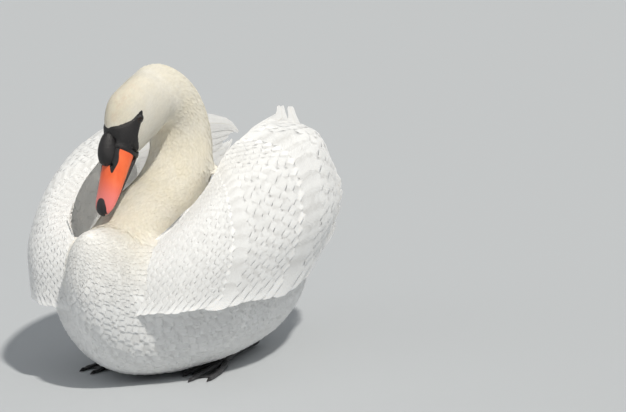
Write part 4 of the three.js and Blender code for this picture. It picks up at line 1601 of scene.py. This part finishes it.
def toe(name, bends):
    rows = toeRows(bends)
    first = rows[0]
    deselectAll()
    bpy.ops.mesh.primitive_circle_add(vertices=10, radius=first[2] * mm, fill_type="NGON",
                                      location=toePlace(first),
                                      rotation=(math.pi / 2, 0, 0))
    thing = bpy.context.object
    thing.name = name
    bpy.ops.object.transform_apply(location=True, rotation=True, scale=True)
    bpy.ops.object.mode_set(mode="EDIT")
    bpy.ops.mesh.select_all(action="SELECT")
    bpy.ops.transform.resize(value=(1, 1, 0.7), center_override=toePlace(first))
    for old, new in zip(rows[:-1], rows[1:]):
        step = ((new[1] - old[1]) * mm, (new[0] - old[0]) * mm, (new[2] - old[2]) * foot["flat"] * mm)
        bpy.ops.mesh.extrude_region_move(TRANSFORM_OT_translate={"value": step})
        bpy.ops.transform.resize(value=(new[2] / old[2], 1, new[2] / old[2]),
                                 center_override=toePlace(new))
    turnFacesOut()
    finishForm(thing, 2)
    return thing


def claw(name, bends):
    y, x, _ = bends[-1]
    long = foot["claw"]
    rows = [(y - long - 1, 0.5, 1.4, 0.5, 0.9), (y - long * 0.6, 1.5, 3.4, 0.6, 2),
            (y - long * 0.2, 2.2, 5.0, 0.7, 2.6), (y + 2, 2.4, 5.2, 0.8, 2.8)]
    thing = loft(name, rows, 8)
    finishForm(thing, 2)
    thing.data.transform(Matrix.Translation((x * mm, 0, 0)))
    return thing


def web(name, toesSet):
    # a sheet between neighbouring toes, its front edge hollowed
    rows, cols = 9, 17
    lines = [np.array(toesSet[key], float) for key in ("inner", "middle", "outer")]
    points = []
    for r in range(rows):
        share = r / (rows - 1)
        spine = []
        for line in lines:
            y = line[0, 0] + (line[-1, 0] + 6 - line[0, 0]) * share
            spine.append((np.interp(-y, -line[:, 0], line[:, 1]), y))
        for c in range(cols):
            a = c / (cols - 1) * 2
            k = min(int(a), 1)
            w = a - k
            x = spine[k][0] * (1 - w) + spine[k + 1][0] * w
            y = spine[k][1] * (1 - w) + spine[k + 1][1] * w + 13 * share ** 3 * math.sin(math.pi * w)
            z = 2.3 - 0.7 * math.sin(math.pi * w) + 0.25 * math.cos(9 * math.pi * w) * math.sin(math.pi * w)
            points.append((x * mm, y * mm, z * mm))
    quads = [(r * cols + c, r * cols + c + 1, (r + 1) * cols + c + 1, (r + 1) * cols + c)
             for r in range(rows - 1) for c in range(cols - 1)]
    thing = addMesh(name, points, quads)
    pickOnly(thing)
    bpy.ops.object.mode_set(mode="EDIT")
    turnFacesOut()
    bpy.ops.object.mode_set(mode="OBJECT")
    thick = thing.modifiers.new("thick", "SOLIDIFY")
    thick.thickness = 0.0011
    thick.offset = 0
    rounder = thing.modifiers.new("rounder", "SUBSURF")
    rounder.levels = rounder.render_levels = 1
    applyAll(thing)
    bpy.ops.object.shade_smooth()
    return thing


def makeFoot(side, name):
    soft = [toe("toe" + name, bends) for bends in foot["toes"].values()]
    soft.append(web("web" + name, foot["toes"]))
    shank = loft("shank" + name, foot["shank"], 12)
    finishForm(shank, 2)
    soft.append(shank)
    claws = [claw("claws" + name, bends) for bends in foot["toes"].values()]
    own = ("foot_" + name.lower(),)
    for group, label, material, replaced in ((soft, "foot" + name, footLeather, own),
                                             (claws, "claws" + name, blackHorn, ())):
        deselectAll()
        for thing in group:
            thing.select_set(True)
        bpy.context.view_layer.objects.active = group[0]
        bpy.ops.object.join()
        whole = bpy.context.object
        whole.name = label
        whole.data.transform(footPlace(side))
        if side < 0:
            whole.data.flip_normals()
        points = meshPoints(whole.data)
        points[:, 2] = np.maximum(points[:, 2], foot["lowest"])
        setPoints(whole.data, points)
        putOn(whole, material, "foot_skin", *replaced)


makeFoot(1, "Left")
makeFoot(-1, "Right")
print("feet ready")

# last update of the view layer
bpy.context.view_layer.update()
